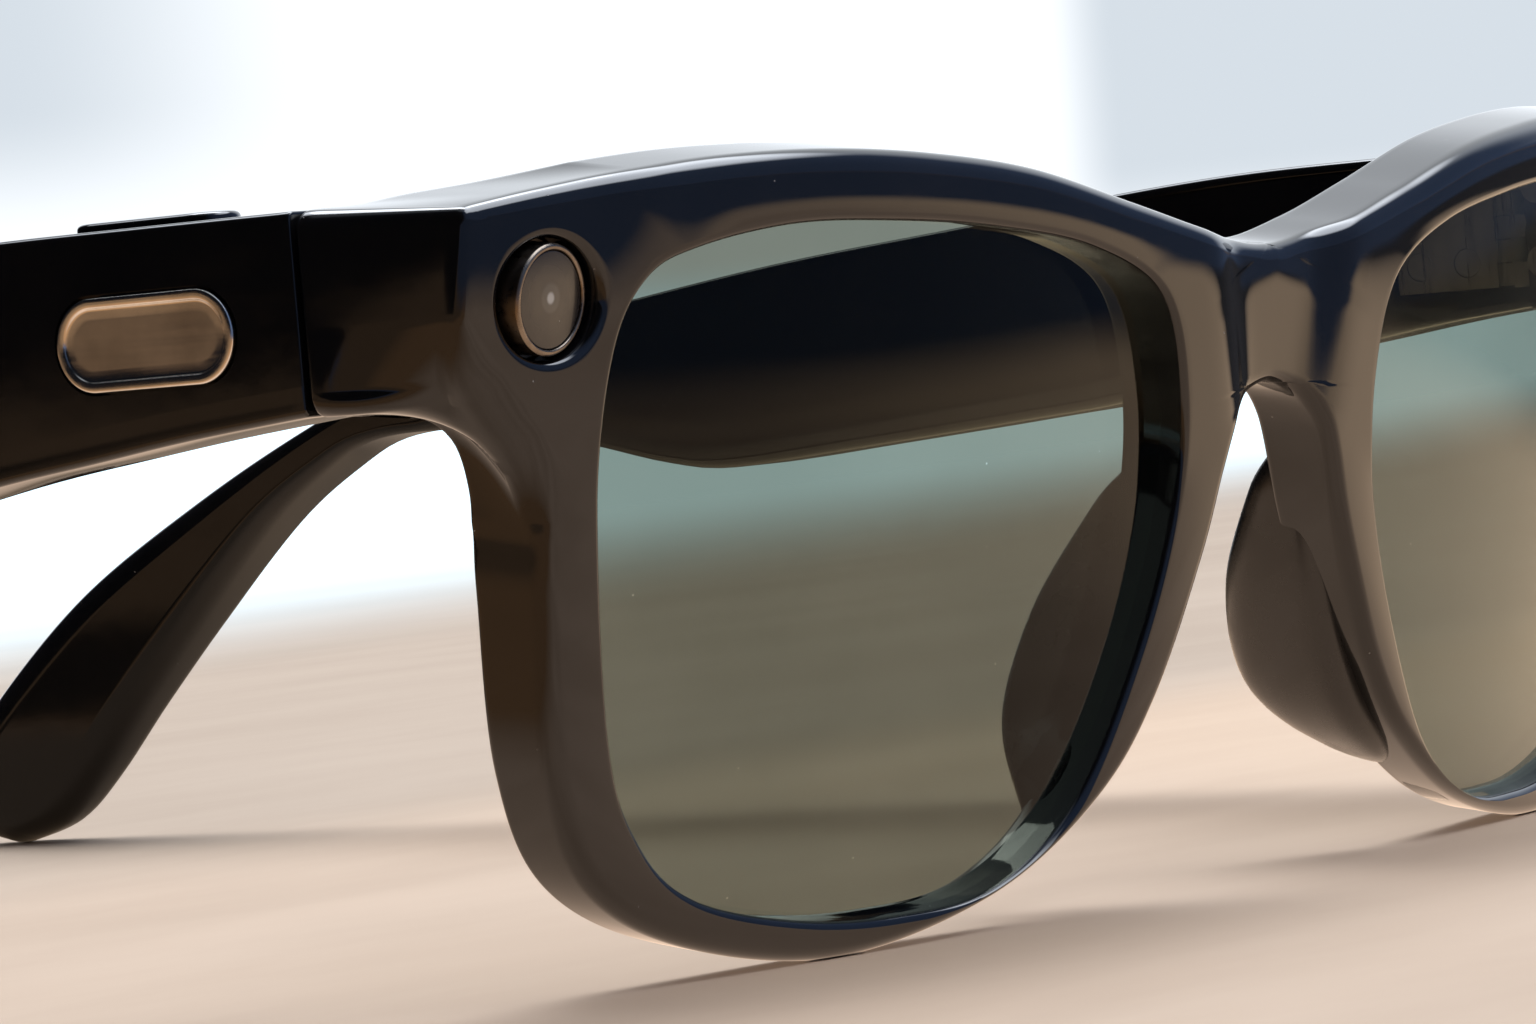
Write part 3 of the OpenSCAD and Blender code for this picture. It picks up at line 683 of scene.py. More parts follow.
RING = [(2.78, 11.0), (2.78, 8.72), (2.84, 8.63), (3.02, 8.63), (3.15, 8.76), (3.15, 10.4),
        (3.39, 10.4), (3.39, 11.0)]
WINDOW = [(0.0, 8.74), (2.7, 8.74), (2.76, 8.8), (2.76, 9.9), (0.0, 9.9)]
start = tuple((np.array(RING[0]) + RING[1]) / 2)
ring_shape = lathe(bevel_profile([start] + RING[1:] + [RING[0], start], 0.05)[:-1], closed=True)
window_shape = lathe(bevel_profile(WINDOW, 0.03))
for side, node in (("right", "capture_light"), ("left", "camera")):
    dress(ring_shape.on(side).make(node + "_bezel", sharp=35), "front", node + "_ring",
          "bezel_metal")
    dress(window_shape.on(side).make(node + "_glass", sharp=35), "front", node + "_window",
          "module_window")


# ---- temples: (y, z) lines seen from the side and (y, x) lines seen from above
START_Y = 17.05                         # the temples' front end
TEMPLE_TOP = [(START_Y, 45.4), (28, 45.4), (41, 45.3), (53, 44.6), (65, 43.4), (83, 41.9),
              (99, 39.9), (110, 38.4), (118, 36.6), (129.5, 32.3), (141, 27), (153, 20.2),
              (163, 12), (166.2, 7.6), (166.6, 3.6), (164.8, 0.7)]
TEMPLE_LOW = [(START_Y, 34), (25.7, 33.2), (33, 32.3), (41, 31.3), (53.7, 29.2), (62.8, 28.4),
              (77.5, 27.3), (90, 26.5), (96, 27.2), (102.6, 28.9), (109, 30.4), (117, 31.2),
              (123.5, 30.8), (128, 28.8), (134, 24.7), (142, 16.9), (148, 10.6), (153, 5),
              (157, 1.6), (162, 0)]
TEMPLE_OUT = [(START_Y, 73), (45, 73.4), (70, 73.2), (95, 72.2), (120, 70.2), (140, 67.8),
              (155, 65.6), (167, 64.2)]
TEMPLE_IN = [(START_Y, 65.5), (70, 65.6), (90, 65.4), (110, 64.6), (124, 63.4), (138, 61.9),
             (152, 60.6), (167, 60)]
ANCHORS = [((112, 38.05), (112, 30.85)), ((118.4, 36.45), (117.3, 31.2)),
           ((125.5, 33.9), (122.8, 30.9)), ((131.6, 31.3), (128, 28.8)), ((138, 28.5), (134, 24.7)),
           ((148.5, 23.0), (142, 16.9)), ((155.6, 18.4), (148, 10.6)), ((161.5, 13.5), (153, 5)),
           ((165.9, 8.2), (157, 1.6)), ((166.7, 5.2), (159.3, 0.8)), ((166.5, 3.3), (160.6, 0.35)),
           ((164.8, 0.7), (162, 0))]    # top and bottom points that face each other on the tip
TIP_COUNTS = [5, 6, 6, 7, 9, 8, 7, 7, 6, 5, 7]      # sections from each anchor to the next
TIP_ROUND = 12                          # sections that narrow towards the tip
END_ROUND = 0.18                        # edge radius of the front end
WALL = 1.3
COVER_INSET, COVER_T, COVER_EDGE = 0.8, 1.1, 0.2
COVER_Y = (31.5, 111.5)
HOLLOW_Y = (32.2, 110.8)
JOINT_GAP = 0.12                        # between a temple and its inner cover
top_line, low_line, out_line, in_line = (
    spline(line, 16) for line in (TEMPLE_TOP, TEMPLE_LOW, TEMPLE_OUT, TEMPLE_IN))


def plan(line, y):
    return np.interp(y, line[:, 0], line[:, 1])


def top_height(y):
    """Height of a temple's top, on the stretch before its line turns back at the tip."""
    return plan(top_line[:240], y)


def temple_stations():
    """Pairs of top and bottom points along the temple, (y, z) each."""
    y = np.unique(np.round(np.concatenate([
        [START_Y], START_Y + END_ROUND * (1 - np.cos(FILLET_STEPS)), np.arange(18, 112, 1.5),
        [COVER_Y[0] - JOINT_GAP, COVER_Y[1] + JOINT_GAP, *HOLLOW_Y, 20, 31, 112]]), 5))
    pairs = list(zip(np.stack([y, top_height(y)], 1), np.stack([y, plan(low_line, y)], 1)))
    for (a, b), (c, d), n in zip(ANCHORS, ANCHORS[1:], TIP_COUNTS):
        pairs += list(zip(resample(cut(top_line, a, c), n + 1)[1:],
                          resample(cut(low_line, b, d), n + 1)[1:]))
    return pairs


def low_round(y):
    """Radius along a temple's lower inner edge."""
    return 0.55 + 1.5 * smoothstep(22, 34, y) * (1 - smoothstep(108, 124, y))


def ring_profile(top, low, inset, scale_x, deep):
    """One closed section of a temple, as rows (x, y, z); deep: 1 in the ledge, 2 in the hollow."""
    way = top - low
    h = np.linalg.norm(way)
    way = way / h
    t0, t1 = inset, h - inset

    def at(t, w, depth=None):
        """A point at a height t and a share w of the half width, or a depth from the inside."""
        y, z = low + way * t
        xi, xo = plan(in_line, y), plan(out_line, y)
        mid, half = (xi + xo) / 2, (xo - xi) / 2 * scale_x - inset
        if depth is not None:
            return (min(max(mid - half, xi) + depth, xo), y, z)
        return (mid + w * half, y, z)

    width = abs(at(h / 2, 1)[0] - at(h / 2, -1)[0])
    tip = smoothstep(112, 150, top[0])
    most = min(t1 - t0, width) * 0.46
    r_out, r_in = min(0.45 + 1.5 * tip, most), min(0.55 + 1.4 * tip, most)
    if inset:
        r_out, r_in = max(r_out - inset, 0.05), max(r_in - inset, 0.05)
    k = 2 / width

    def corner(t_edge, up, side, r, steps):
        return [at(t_edge + up * r * (1 - math.cos(a)), side - side * k * r * (1 - math.sin(a)))
                for a in steps]

    ring = corner(t0, 1, 1, r_out, FILLET_STEPS)
    ring += [at(t0 + r_out + (t1 - t0 - 2 * r_out) * s, 1) for s in np.linspace(0, 1, 9)[1:-1]]
    ring += corner(t1, -1, 1, r_out, FILLET_STEPS[::-1])
    ring += corner(t1, -1, -1, r_in, FILLET_STEPS)
    # down the inner face, through the cover's ledge and the hollow
    r_low = max(r_in, min(low_round(top[0]), (t1 - t0) * 0.46) - inset)
    ledge = COVER_INSET - JOINT_GAP
    above, under = t1 - max(ledge, r_in + 0.02), t0 + ledge
    hole = [(above, 0), (above, 1), (t1 - WALL, 1), (t1 - WALL, 2), ((t0 + t1) / 2, 2),
            (t0 + WALL, 2), (t0 + WALL, 1), (under, 1), (under, 0)]
    last_turn = math.acos(max(1 - ledge / r_low, 0))
    if top[0] > HOLLOW_Y[1] + 3:
        hole = [(t, 0) for t in np.linspace(t1 - r_in, t0 + r_low, 11)[1:-1]]
        last_turn = math.pi / 2
    for t, level in hole:
        level = min(level, deep)
        if level == 2:
            y, z = low + way * t
            ring.append((plan(out_line, y) - WALL, y, z))
        else:
            ring.append(at(t, -1, COVER_T + 0.1) if level
                        else at(t, -1 + k * fall_off(r_low, t - t0)))
    return ring + corner(t0, 1, -1, r_low, np.linspace(last_turn, 0, 7))


def depths(y):
    """How deep the inside is at y, on both sides of a step where y lies on one."""
    for step, levels in ((COVER_Y[0] - JOINT_GAP, (0, 1)), (COVER_Y[1] + JOINT_GAP, (1, 0)),
                         (HOLLOW_Y[0], (1, 2)), (HOLLOW_Y[1], (2, 1))):
        if abs(y - step) < 1e-4:
            return levels
    return (int(COVER_Y[0] < y < COVER_Y[1]) + int(HOLLOW_Y[0] < y < HOLLOW_Y[1]),)


def build_temple():
    rings = []
    stations = temple_stations()
    for i, (top, low) in enumerate(stations):
        inset, scale = 0.0, 1.0
        if top[0] < START_Y + END_ROUND:
            inset = END_ROUND * (1 - math.sin(math.acos(1 - (top[0] - START_Y) / END_ROUND)))
        left = len(stations) - 1 - i
        if left < TIP_ROUND:
            scale = 0.3 + 0.7 * math.sqrt(1 - (1 - left / TIP_ROUND) ** 2)
        for deep in depths(top[0]):
            rings.append(ring_profile(top, low, inset, scale, deep))
    rings = np.array(rings)
    rings[..., 1] += FRONT_Y
    rings[..., 2] = np.maximum(rings[..., 2], 0)
    return loft(rings)


def build_cover():
    """The thin plate let into the inside of a temple."""
    edge = COVER_EDGE * (1 - np.cos(FILLET_STEPS))
    y = np.unique(np.concatenate([COVER_Y[0] + edge, COVER_Y[1] - edge, np.linspace(*COVER_Y, 60)]))
    lift = fall_off(COVER_EDGE, np.minimum(y - COVER_Y[0], COVER_Y[1] - y))
    rings = []
    for y, x, high, low, lift in zip(y, plan(in_line, y), top_height(y) - COVER_INSET,
                                     plan(low_line, y) + COVER_INSET, lift):
        ring = [(x + COVER_T, high), (x + COVER_T, low)]
        ring += [(x + max(lift, fall_off(low_round(y), t)), low - COVER_INSET + t)
                 for t in np.linspace(COVER_INSET, 2.6, 9)]
        ring += [(x + lift + COVER_EDGE * (1 - math.sin(t)), high - COVER_EDGE * (1 - math.cos(t)))
                 for t in FILLET_STEPS[::-1]]
        rings.append([(a, y + FRONT_Y, b) for a, b in ring])
    return loft(rings)


BADGE_AT, BADGE_SIZE = (28, 39), (13, 5.4)
BUTTON_AT, BUTTON_SIZE = (69.4, 29.5), (11, 4)
SOUND_HOLE = (69, 35.1)
SLIDER_AT = (37.25, 39.7)
CEILING = 44.0                          # top of the space for the capture switch
POCKET_FIT = 0.3                        # badge's and button's pockets over their sizes


def temple_cutters(side):
    """Badge pocket, hinge bore and pocket, speaker port, sound hole and the button's space."""
    cutters = [
        capsule_shape(grown(BADGE_SIZE, POCKET_FIT), [(0, 72.45), (0, 76)], "x", BADGE_AT, 24),
        rod_shape("z", 2.05, HINGE_Z - 4.5, HINGE_Z + 4.9, (HINGE_X, HINGE_BACK)),
        box_shape((64, 16, HINGE_Z - LEAF_HALF), (66.8, 29.05, HINGE_Z + LEAF_HALF)),
        box_shape((67.4, 87, 20), (69.8, 96, 29.2)),
        rod_shape("z", 0.35, 28, 36, SOUND_HOLE, n=20),
    ]
    if side == "right":
        cutters += [box_shape((67.2, 22.4, 38.6), (71.7, 36.6, CEILING)),
                    capsule_shape(grown(BUTTON_SIZE, POCKET_FIT), [(0, CEILING - 1), (0, 50)],
                                  "z", BUTTON_AT, 24)]
    return [cutter.on(side) for cutter in cutters]


temple_shape, cover_shape = build_temple(), build_cover()
for side in ("left", "right"):
    piece = temple_shape.on(side).make("temple_moulding_" + side)
    dress(carve(piece, temple_cutters(side)), "temple_" + side, "temple_shell_" + side,
          "frame_gloss")
    piece = cover_shape.on(side).make("temple_inner_cover_" + side)
    if side == "left":
        y, z = SLIDER_AT
        carve(piece, [box_shape((60, y - 2.75, z - 1.1), (70, y + 2.75, z + 1.1))])
    dress(piece, "temple_" + side, "temple_cover_" + side, "frame_gloss")


# ---- badges and controls
BADGE_LEVELS = ([(0, 72.5), (0, 73.2)]
                + [(0.2 * (1 - math.cos(a)), 73.2 + 0.2 * math.sin(a)) for a in FILLET_STEPS[1:]]
                + [(0.5, 73.4), (0.56, 73.37), (0.62, 73.3), (0.68, 73.24), (0.78, 73.22),
                   (1.3, 73.22)])
BADGE_RIM = 0.6                         # width of the badge's bare metal edge
BUTTON_LEVELS = ([(0.02, 43.9), (0.02, 45.6)]
                 + [(0.02 + 0.4 * (1 - math.cos(a)), 45.6 + 0.32 * math.sin(a))
                    for a in FILLET_STEPS[1:]]
                 + [(0.8, 45.965), (1.3, 45.99), (1.7, 46.0)])
for side in ("left", "right"):
    shape = capsule_shape(BADGE_SIZE, BADGE_LEVELS, "x", BADGE_AT)
    piece = shape.on(side).make("badge_plate_" + side, sharp=50)
    for face in piece.data.polygons:
        y, z = face.center.y / MM - FRONT_Y - BADGE_AT[0], face.center.z / MM - BADGE_AT[1]
        reach = math.hypot(max(abs(y) - (BADGE_SIZE[0] - BADGE_SIZE[1]) / 2, 0), z)
        face.material_index = int(reach < BADGE_SIZE[1] / 2 - BADGE_RIM)
    dress(piece, "temple_" + side, "badge_" + side, "badge_metal")
button = capsule_shape(BUTTON_SIZE, BUTTON_LEVELS, "z", BUTTON_AT).mirrored()
dress(button.make("capture_button_cap", sharp=50), "capture_button", "capture_button",
      "frame_gloss")


def build_slider():
    """The slider's ridged knob and its base, as one shape."""
    y0, y1 = 35.1, 37.9
    z0, z1 = SLIDER_AT[1] - 0.95, SLIDER_AT[1] + 0.95
    rounded = [(0, 0.25), (0.1, 0.08), (0.3, 0)]
    profile = [(y0 + a, d) for a, d in rounded]
    for c in (y0 + 0.8, y0 + 1.4, y0 + 2.0):
        profile += [(c + a, d) for a, d in ((-0.18, 0), (-0.12, 0.04), (0, 0.26), (0.12, 0.04),
                                            (0.18, 0))]
    profile += [(y1 - a, d) for a, d in rounded[::-1]]
    outline = [(65 + d, y) for y, d in profile] + [(66.9, y1), (66.9, y0)]
    levels = ((z0, 0.14), (z0 + 0.04, 0.05), (z0 + 0.14, 0), (z1 - 0.14, 0), (z1 - 0.04, 0.05),
              (z1, 0.14))
    shape = loft([[(min(x + inset, 66.9), y + FRONT_Y, z) for x, y in outline]
                  for z, inset in levels])
    z = SLIDER_AT[1]
    return shape.join(box_shape((66.85, 34.3, z - 1.8), (67.35, 38.7, z + 1.8)))


dress(build_slider().make("power_slider_knob", sharp=30), "power_slider", "power_slider",
      "inner_plastic")


# ---- materials
class Look:
    """A node material with a few short calls for building its nodes."""

    def __init__(self, name, **constants):
        self.material = bpy.data.materials.new(name)
        self.material.use_nodes = True
        self.tree = self.material.node_tree
        self.shader = self.tree.nodes["Principled BSDF"]
        self.place = self.node("ShaderNodeTexCoord")
        for key, value in constants.items():
            self.shader.inputs[key.replace("_", " ")].default_value = value

    def node(self, kind, sources=None, **settings):
        """A new node; sources gives its sockets, by name or number, outputs or constants."""
        made = self.tree.nodes.new(kind)
        for key, value in settings.items():
            setattr(made, key, value)
        for key, value in (sources or {}).items():
            socket = made.inputs[key]
            if isinstance(value, bpy.types.NodeSocket):
                self.tree.links.new(value, socket)
            else:
                socket.default_value = (*value, 1) if socket.type == "RGBA" else value
        return made

    def scaled(self, scale):
        return self.node("ShaderNodeMapping", {
            "Scale": scale, "Vector": self.place.outputs["Object"]}).outputs["Vector"]

    def noise(self, scale, detail=3.0, rough=0.55, stretch=(1, 1, 1)):
        return self.node("ShaderNodeTexNoise", {
            "Scale": scale, "Detail": detail, "Roughness": rough,
            "Vector": self.scaled(stretch)}).outputs["Fac"]

    def ramp(self, source, low, high, a=0.0, b=1.0):
        """Runs smoothly from a to b as source goes from low to high."""
        return self.node("ShaderNodeMapRange", {
            "Value": source, "From Min": low, "From Max": high, "To Min": a, "To Max": b},
            interpolation_type="SMOOTHSTEP").outputs["Result"]

    def math(self, kind, a, b=0.0):
        return self.node("ShaderNodeMath", {0: a, 1: b}, operation=kind).outputs[0]

    def fold(self, kind, first, *others):
        """Joins any number of values by the same operation."""
        for value in others:
            first = self.math(kind, first, value)
        return first

    def mix(self, factor, a, b):
        return self.node("ShaderNodeMix", {0: factor, 6: a, 7: b}, data_type="RGBA").outputs[2]

    def specks(self, scale, size, share):
        """Tiny round specks, only in that share of the cells."""
        made = self.node("ShaderNodeTexVoronoi", {"Scale": scale, "Vector": self.scaled((1, 1, 1))})
        split = self.node("ShaderNodeSeparateColor", {"Color": made.outputs["Color"]})
        return self.math("MULTIPLY", self.ramp(split.outputs["Red"], 1 - share, 1 - share * 0.9),
                         self.ramp(made.outputs["Distance"], size, size * 0.5))

    def bump(self, height, distance, under=None):
        sources = {"Distance": distance, "Strength": 1.0, "Height": height}
        if under is not None:
            sources["Normal"] = under
        return self.node("ShaderNodeBump", sources).outputs["Normal"]

    def vector(self, kind, a, b=(0, 0, 0)):
        return self.node("ShaderNodeVectorMath", {0: a, 1: b}, operation=kind).outputs

    def off_axis(self):
        """Distance from the middle of the piece's own box, seen along its depth."""
        out = self.vector("SUBTRACT", self.place.outputs["Generated"], (0.5, 0.5, 0.5))[0]
        return self.vector("LENGTH", self.vector("MULTIPLY", out, (1, 0, 1))[0])["Value"]

    def xyz(self, source="Object"):
        return self.node("ShaderNodeSeparateXYZ", {0: self.place.outputs[source]}).outputs

    def set(self, **sources):
        for key, source in sources.items():
            self.tree.links.new(source, self.shader.inputs[key.replace("_", " ")])
        return self.material

    def glow(self, colour, share):
        """Makes it a plain glow where share is 1, and nothing where it is 0."""
        light = self.node("ShaderNodeEmission", {"Color": colour, "Strength": 1.0}).outputs[0]
        clear = self.node("ShaderNodeBsdfTransparent").outputs[0]
        blend = self.node("ShaderNodeMixShader", {0: share, 1: clear, 2: light})
        self.tree.links.new(blend.outputs[0], self.tree.nodes["Material Output"].inputs["Surface"])


def gloss_look(name, dark, pale):
    """Polished moulding: faint waviness, wiped haze, hairline marks and a little dust."""
    look = Look(name, IOR=1.5, Specular_IOR_Level=0.5)
    cloud = look.noise(90, 4)
    haze = look.noise(260, 5, 0.65, (1, 0.35, 1))
    dots = look.specks(950, 0.075, 0.05)
    colour = look.mix(look.ramp(cloud, 0.35, 0.7), dark, pale)
    shine = look.math("MAXIMUM", look.ramp(haze, 0.45, 0.8, 0.045, 0.1),
                      look.math("MULTIPLY", dots, 0.5))
    wave = look.bump(look.noise(170, 2), 6e-6)
    lines = look.bump(look.noise(900, 2, 0.5, (0.06, 1, 1)), 6e-7, under=wave)
    return look.set(Base_Color=look.mix(dots, colour, (0.2, 0.19, 0.18)), Roughness=shine,
                    Normal=lines)


def satin_look(name, dark, pale, rough, grain, depth, **constants):
    """Fine-grained plastic or film."""
    look = Look(name, **constants)
    colour = look.mix(look.ramp(look.noise(140, 4), 0.35, 0.7), dark, pale)
    shine = look.ramp(look.noise(420, 4), 0.35, 0.7, *rough)
    return look.set(Base_Color=colour, Roughness=shine,
                    Normal=look.bump(look.noise(grain, 3), depth))


def metal_look(name, dark, pale, rough, stretch):
    """Brushed metal: the fine lines run along the axis that is squeezed."""
    look = Look(name, Metallic=1.0)
    lines = look.noise(2600, 3, 0.6, stretch)
    colour = look.mix(look.ramp(look.noise(240, 4), 0.3, 0.7), dark, pale)
    shine = look.ramp(lines, 0.3, 0.7, *rough)
    return look.set(Base_Color=colour, Roughness=shine, Normal=look.bump(lines, 4e-7))


def turned_look(name, dark, pale, rough, rings):
    """Metal turned on a lathe: rings about the middle of the piece's own box."""
    look = Look(name, Metallic=1.0)
    wave = look.math("SINE", look.math("MULTIPLY", look.off_axis(), rings))
    grain = look.noise(1500, 3)
    colour = look.mix(look.ramp(look.noise(700, 3), 0.3, 0.7), dark, pale)
    height = look.math("ADD", look.math("MULTIPLY", wave, 0.5), grain)
    return look.set(Base_Color=colour, Roughness=look.ramp(grain, 0.3, 0.7, *rough),
                    Normal=look.bump(height, 1.2e-6))


def lens_look():
    """Green-grey tinted lens with a hard coat, wipe marks and dust."""
    look = Look("lens_tint_glass", IOR=1.2, Roughness=0.0, Transmission_Weight=1.0,
                Coat_Weight=0.04, Coat_Roughness=0.0, Coat_IOR=1.5, Specular_IOR_Level=0.1)
    cloud = look.ramp(look.noise(60, 3), 0.35, 0.7)
    tint = look.mix(cloud, (0.17, 0.19, 0.157), (0.185, 0.205, 0.17))
    return look.set(Base_Color=look.mix(look.specks(620, 0.055, 0.07), tint, (0.75, 0.75, 0.72)))


def window_look():
    """Smoked flat window with a small pale element behind its middle."""
    look = Look("module_window_smoked", IOR=1.4, Coat_Weight=0.2, Coat_Roughness=0.03)
    out = look.off_axis()
    colour = look.mix(look.ramp(out, 0.2, 0.5), (0.034, 0.027, 0.02), (0.016, 0.013, 0.011))
    colour = look.mix(look.ramp(out, 0.17, 0.12), colour, (0.07, 0.06, 0.048))
    colour = look.mix(look.ramp(out, 0.075, 0.035), colour, (0.42, 0.4, 0.36))
    colour = look.mix(look.specks(1500, 0.07, 0.05), colour, (0.3, 0.29, 0.27))
    grain = look.noise(900, 3)
    return look.set(Base_Color=colour, Roughness=look.ramp(grain, 0.3, 0.7, 0.16, 0.24),
                    Normal=look.bump(grain, 8e-7))


def board_look(name, mask, trace):
    """Printed board: pale traces under a solder mask, and small parts' footprints."""
    look = Look(name, IOR=1.5, Roughness=0.35)
    cells = look.node("ShaderNodeTexVoronoi", {"Scale": 900, "Vector": look.scaled((1, 1, 1))},
                      distance="MANHATTAN")
    lines = look.ramp(cells.outputs["Distance"], 0.5, 0.56)
    return look.set(Base_Color=look.mix(lines, mask, trace), Normal=look.bump(lines, 1.5e-5),
                    Roughness=look.ramp(look.noise(500, 3), 0.3, 0.7, 0.28, 0.42))


LOOKS = {
    "frame_gloss": gloss_look("frame_gloss_black", (0.0035, 0.0035, 0.004), (0.006, 0.0055, 0.006)),
    "lens_tint": lens_look(),
    "pad_plastic": satin_look("pad_satin_black", (0.006, 0.005, 0.0045), (0.011, 0.009, 0.008),
                              (0.22, 0.34), 1400, 4e-6, IOR=1.5),
    "bezel_metal": turned_look("bezel_turned", (0.15, 0.125, 0.1), (0.21, 0.175, 0.14),
                               (0.24, 0.36), 260),
    "module_window": window_look(),
    "light_diffuser": satin_look("diffuser_milky", (0.72, 0.7, 0.64), (0.8, 0.78, 0.73),
                                 (0.45, 0.6), 1500, 6e-6, IOR=1.45),
    "inner_plastic": satin_look("inner_matte", (0.013, 0.013, 0.014), (0.024, 0.024, 0.026),
                                (0.42, 0.6), 2400, 8e-6, IOR=1.5),
    "hinge_steel": metal_look("hinge_brushed", (0.36, 0.35, 0.34), (0.5, 0.49, 0.48),
                              (0.26, 0.44), (1, 1, 0.06)),
    "contact_gold": metal_look("contact_plated", (0.62, 0.43, 0.16), (0.78, 0.56, 0.24),
                               (0.16, 0.3), (1, 1, 1)),
    "flex_film": satin_look("film_amber", (0.28, 0.11, 0.02), (0.4, 0.17, 0.035), (0.2, 0.3),
                            700, 4e-6, IOR=1.55),
    "circuit_board": board_look("board_masked", (0.012, 0.075, 0.035), (0.03, 0.16, 0.07)),
    "shield_metal": metal_look("shield_tinned", (0.5, 0.51, 0.52), (0.66, 0.67, 0.68),
                               (0.26, 0.4), (1, 0.1, 1)),
    "battery_foil": satin_look("battery_wrap", (0.2, 0.21, 0.23), (0.29, 0.3, 0.32), (0.3, 0.45),
                               800, 1.5e-5, Metallic=0.6),
    "badge_metal": metal_look("badge_polished", (0.55, 0.52, 0.48), (0.72, 0.69, 0.65),
                              (0.14, 0.26), (1, 0.05, 1)),
    "grille_metal": metal_look("grille_coated", (0.035, 0.035, 0.038), (0.06, 0.06, 0.063),
                               (0.34, 0.5), (1, 1, 1)),
}
slots = {part["node"]: part["material_slot"] for part in frame["record"]["subparts"]}
for thing in bpy.data.objects:
    slot = MADE.get(thing.name) or slots.get(thing.name)
    if thing.type == "MESH" and slot:
        thing.data.materials.clear()
        thing.data.materials.append(LOOKS[slot])
        if MADE.get(thing.name) == "badge_metal":
            thing.data.materials.append(LOOKS["frame_gloss"])


# ---- camera
EYE = (-0.376332, -0.314822, 0.036017)
YAW, PITCH, ROLL = -0.94525462, 0.02392506, -0.08569354
LENS_MM, SENSOR_MM = 166.7, 36


def aim(eye, yaw, pitch, roll):
    level = math.cos(pitch)
    f = Vector((-math.sin(yaw) * level, math.cos(yaw) * level, -math.sin(pitch)))
    right = Vector((math.cos(yaw), math.sin(yaw), 0))
    up = right.cross(f)
    c, s = math.cos(roll), math.sin(roll)
    right, up = c * right + s * up, -s * right + c * up
    turn = Matrix((right, up, -f)).transposed().to_4x4()
    return Matrix.Translation(eye) @ turn


scene = bpy.context.scene
optics = bpy.data.cameras.new("camera")
optics.lens, optics.sensor_width = LENS_MM, SENSOR_MM
optics.clip_start, optics.clip_end = 0.01, 60
camera = bpy.data.objects.new("camera", optics)
camera.matrix_world = aim(EYE, YAW, PITCH, ROLL)
scene.collection.objects.link(camera)
scene.camera = camera
scene.view_settings.view_transform = "Standard"
scene.view_settings.look = "None"


# ---- floor and backdrop, in metres
FLOOR_HALF, DOME_R = 15, 13
NEAR_COVER = 0.8                        # share of the near floor's reflection that is replaced
VIEW_TURN = math.radians(54)            # which way the camera looks, from +Y towards +X


def stage_mesh(name, points, faces, look, **seen):
    """A piece of the stage; with no rays named, every kind of ray sees it."""
    mesh = bpy.data.meshes.new(name)
    mesh.from_pydata(points, [], faces)
    mesh.materials.append(look.material)
    thing = bpy.data.objects.new(name, mesh)
    scene.collection.objects.link(thing)
    for ray in ("camera", "diffuse", "glossy", "transmission", "volume_scatter", "shadow"):
        setattr(thing, "visible_" + ray, seen.get(ray, not seen))


def floor_plane(name, z, look, **seen):
    points = [(x * FLOOR_HALF, y * FLOOR_HALF, z) for x, y in ((-1, -1), (1, -1), (1, 1), (-1, 1))]
    stage_mesh(name, points, [(0, 1, 2, 3)], look, **seen)


look = Look("floor_pale", Roughness=0.6, Specular_IOR_Level=0.15)
grain = look.noise(9, 5, 0.6, (1, 3.2, 1))
look.set(Base_Color=look.mix(look.ramp(grain, 0.3, 0.7), (0.35, 0.268, 0.2), (0.39, 0.303, 0.23)))
floor_plane("floor", 0, look)

# the floor melts into the backdrop well beyond the object
look = Look("floor_fade")
x, y, z = look.xyz()
behind = look.math("SUBTRACT", y, look.math("MULTIPLY", x, 0.18))
far = look.vector("LENGTH", look.place.outputs["Object"])["Value"]
look.glow((1.22, 1.55, 1.75), look.math("MAXIMUM", look.ramp(behind, 0.2, 0.5),
                                        look.ramp(far, 1.4, 2.6)))
floor_plane("floor_fade", 0.0002, look, camera=True, transmission=True)

# painted reflection of the table, a glowing sheet that only reflections see: warm near by, painted
# shade on its unlit sides
look = Look("floor_shade")
x, y, z = look.xyz()
left = look.ramp(x, -0.08, -0.12)
left_dark = look.fold("MULTIPLY", look.ramp(x, -0.08, -0.14), look.ramp(x, -0.5, -0.35),
                      look.ramp(y, 0.1, 0.24), look.ramp(y, 0.6, 0.35))
right = look.math("MULTIPLY", look.ramp(x, 0.21, 0.34), look.ramp(y, 0.0, -0.1))
ahead = look.ramp(y, -0.24, -0.31)
streaks = look.ramp(look.noise(14, 4, 0.6, (1, 4, 1)), 0.3, 0.7)
colour = look.mix(streaks, (1.1, 0.78, 0.56), (1.35, 0.98, 0.73))
# painted light and shade in the reflection: a brightly lit patch towards +x, painted shade behind
# and on the left, a dark patch further left and behind, dark beyond the table to the right and
# ahead
for share, glow in ((look.ramp(x, 0.02, 0.12), (2.0, 1.45, 0.98)),
                    (look.ramp(y, 0.02, 0.07), (0.2, 0.14, 0.09)),
                    (left, (0.64, 0.36, 0.18)),
                    (look.ramp(x, -0.15, -0.24), (0.36, 0.225, 0.13)),
                    (left_dark, (0.03, 0.025, 0.02)),
                    (right, (0.08, 0.08, 0.09)),
                    (ahead, (0.12, 0.175, 0.31))):
    colour = look.mix(share, colour, glow)
look.glow(colour, look.fold("MAXIMUM", left, left_dark, right, ahead, NEAR_COVER))
floor_plane("floor_shade", 0.0001, look, glossy=True)

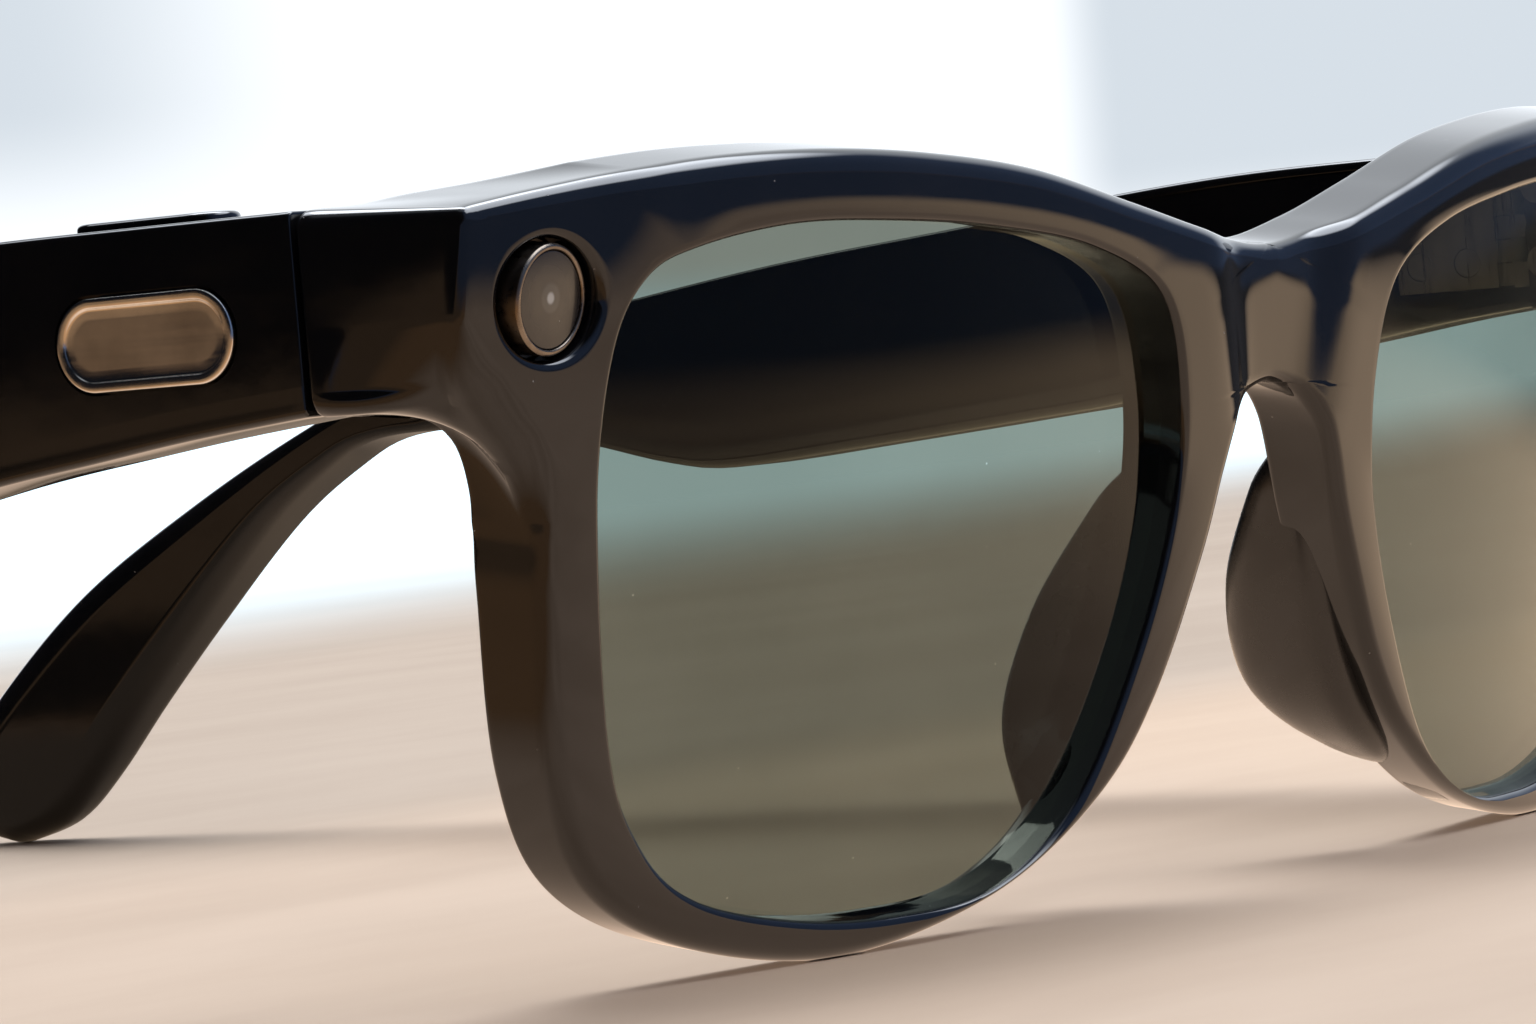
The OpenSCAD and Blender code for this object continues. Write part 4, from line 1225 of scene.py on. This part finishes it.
# the backdrop that the camera sees all round, with two dimmer panels
look = Look("backdrop_pale")
x, y, z = look.xyz()
across = look.math("SUBTRACT", look.math("MULTIPLY", x, math.cos(VIEW_TURN)),
                   look.math("MULTIPLY", y, math.sin(VIEW_TURN)))
panels = look.math("MAXIMUM",
                   look.math("MULTIPLY", look.ramp(across, -0.55, -1.3), look.ramp(z, 0.28, 0.6)),
                   look.math("MULTIPLY", look.ramp(across, 0.64, 0.8), look.ramp(z, 0.1, 0.32)))
colour = look.mix(look.ramp(z, 0.02, 0.2), (1.25, 1.9, 2.4), (1.08, 1.12, 1.16))
look.glow(look.mix(panels, colour, (0.68, 0.745, 0.81)), look.ramp(z, -30, -29))
turns = np.linspace(0, 2 * math.pi, 48, endpoint=False)
lifts = np.linspace(-0.1, math.pi / 2 - 0.01, 16)
points = [(DOME_R * math.cos(a) * math.cos(e), DOME_R * math.sin(a) * math.cos(e),
           DOME_R * math.sin(e)) for a in turns for e in lifts]
stage_mesh("backdrop", points, grid_faces(len(turns), len(lifts), wrap_n=True), look,
           camera=True, transmission=True)


# ---- the light all round
world = bpy.data.worlds.new("studio")
scene.world = world
world.use_nodes = True


class Sky(Look):
    """The world's own nodes."""

    def __init__(self, tree):
        self.tree = tree
        self.place = self.node("ShaderNodeTexCoord")


sky = Sky(world.node_tree)
x, y, z = sky.xyz("Generated")
level = sky.math("SQRT", sky.math("ADD", sky.math("MULTIPLY", x, x), sky.math("MULTIPLY", y, y)))
level = sky.math("MAXIMUM", level, 0.001)
x, y = sky.math("DIVIDE", x, level), sky.math("DIVIDE", y, level)


def towards(azimuth):
    """How far a direction points to an azimuth, measured from +Y towards +X: 1 is exactly."""
    a = math.radians(azimuth)
    return sky.math("ADD", sky.math("MULTIPLY", x, math.sin(a)),
                    sky.math("MULTIPLY", y, math.cos(a)))


above = sky.ramp(z, -0.003, 0.003)
band = sky.fold("MULTIPLY", sky.ramp(z, 0.66, 0.76), sky.ramp(z, 0.96, 0.9),
                sky.ramp(towards(90), -0.15, 0.35))
back = sky.math("MULTIPLY", sky.ramp(towards(66), 0.72, 0.95), sky.ramp(z, -0.01, 0.06))
front = sky.math("MULTIPLY", sky.ramp(towards(150), 0.1, 0.85), above)
total = sky.mix(above, (0.34, 0.225, 0.14), (0.008, 0.009, 0.012))
for share, colour in ((band, (6.6, 7.0, 7.6)), (back, (1.25, 1.32, 1.4)),
                      (front, (0.16, 0.25, 0.47)), (sky.ramp(z, 0.88, 0.97), (0.5, 0.55, 0.62))):
    total = sky.vector("ADD", total, sky.mix(share, (0.0, 0.0, 0.0), colour))[0]
backing = world.node_tree.nodes["Background"]
sky.tree.links.new(total, backing.inputs["Color"])
backing.inputs["Strength"].default_value = 1.0

softbox = bpy.data.lights.new("softbox_high", "AREA")
softbox.shape = "RECTANGLE"
softbox.size, softbox.size_y = 0.7, 0.5
softbox.energy = 9
softbox.color = (0.93, 0.96, 1.0)
lamp = bpy.data.objects.new("softbox_high", softbox)
at = Vector((0.35, 0.25, 1.2))
lamp.matrix_world = Matrix.Translation(at) @ (-at).to_track_quat("-Z", "Y").to_matrix().to_4x4()
scene.collection.objects.link(lamp)
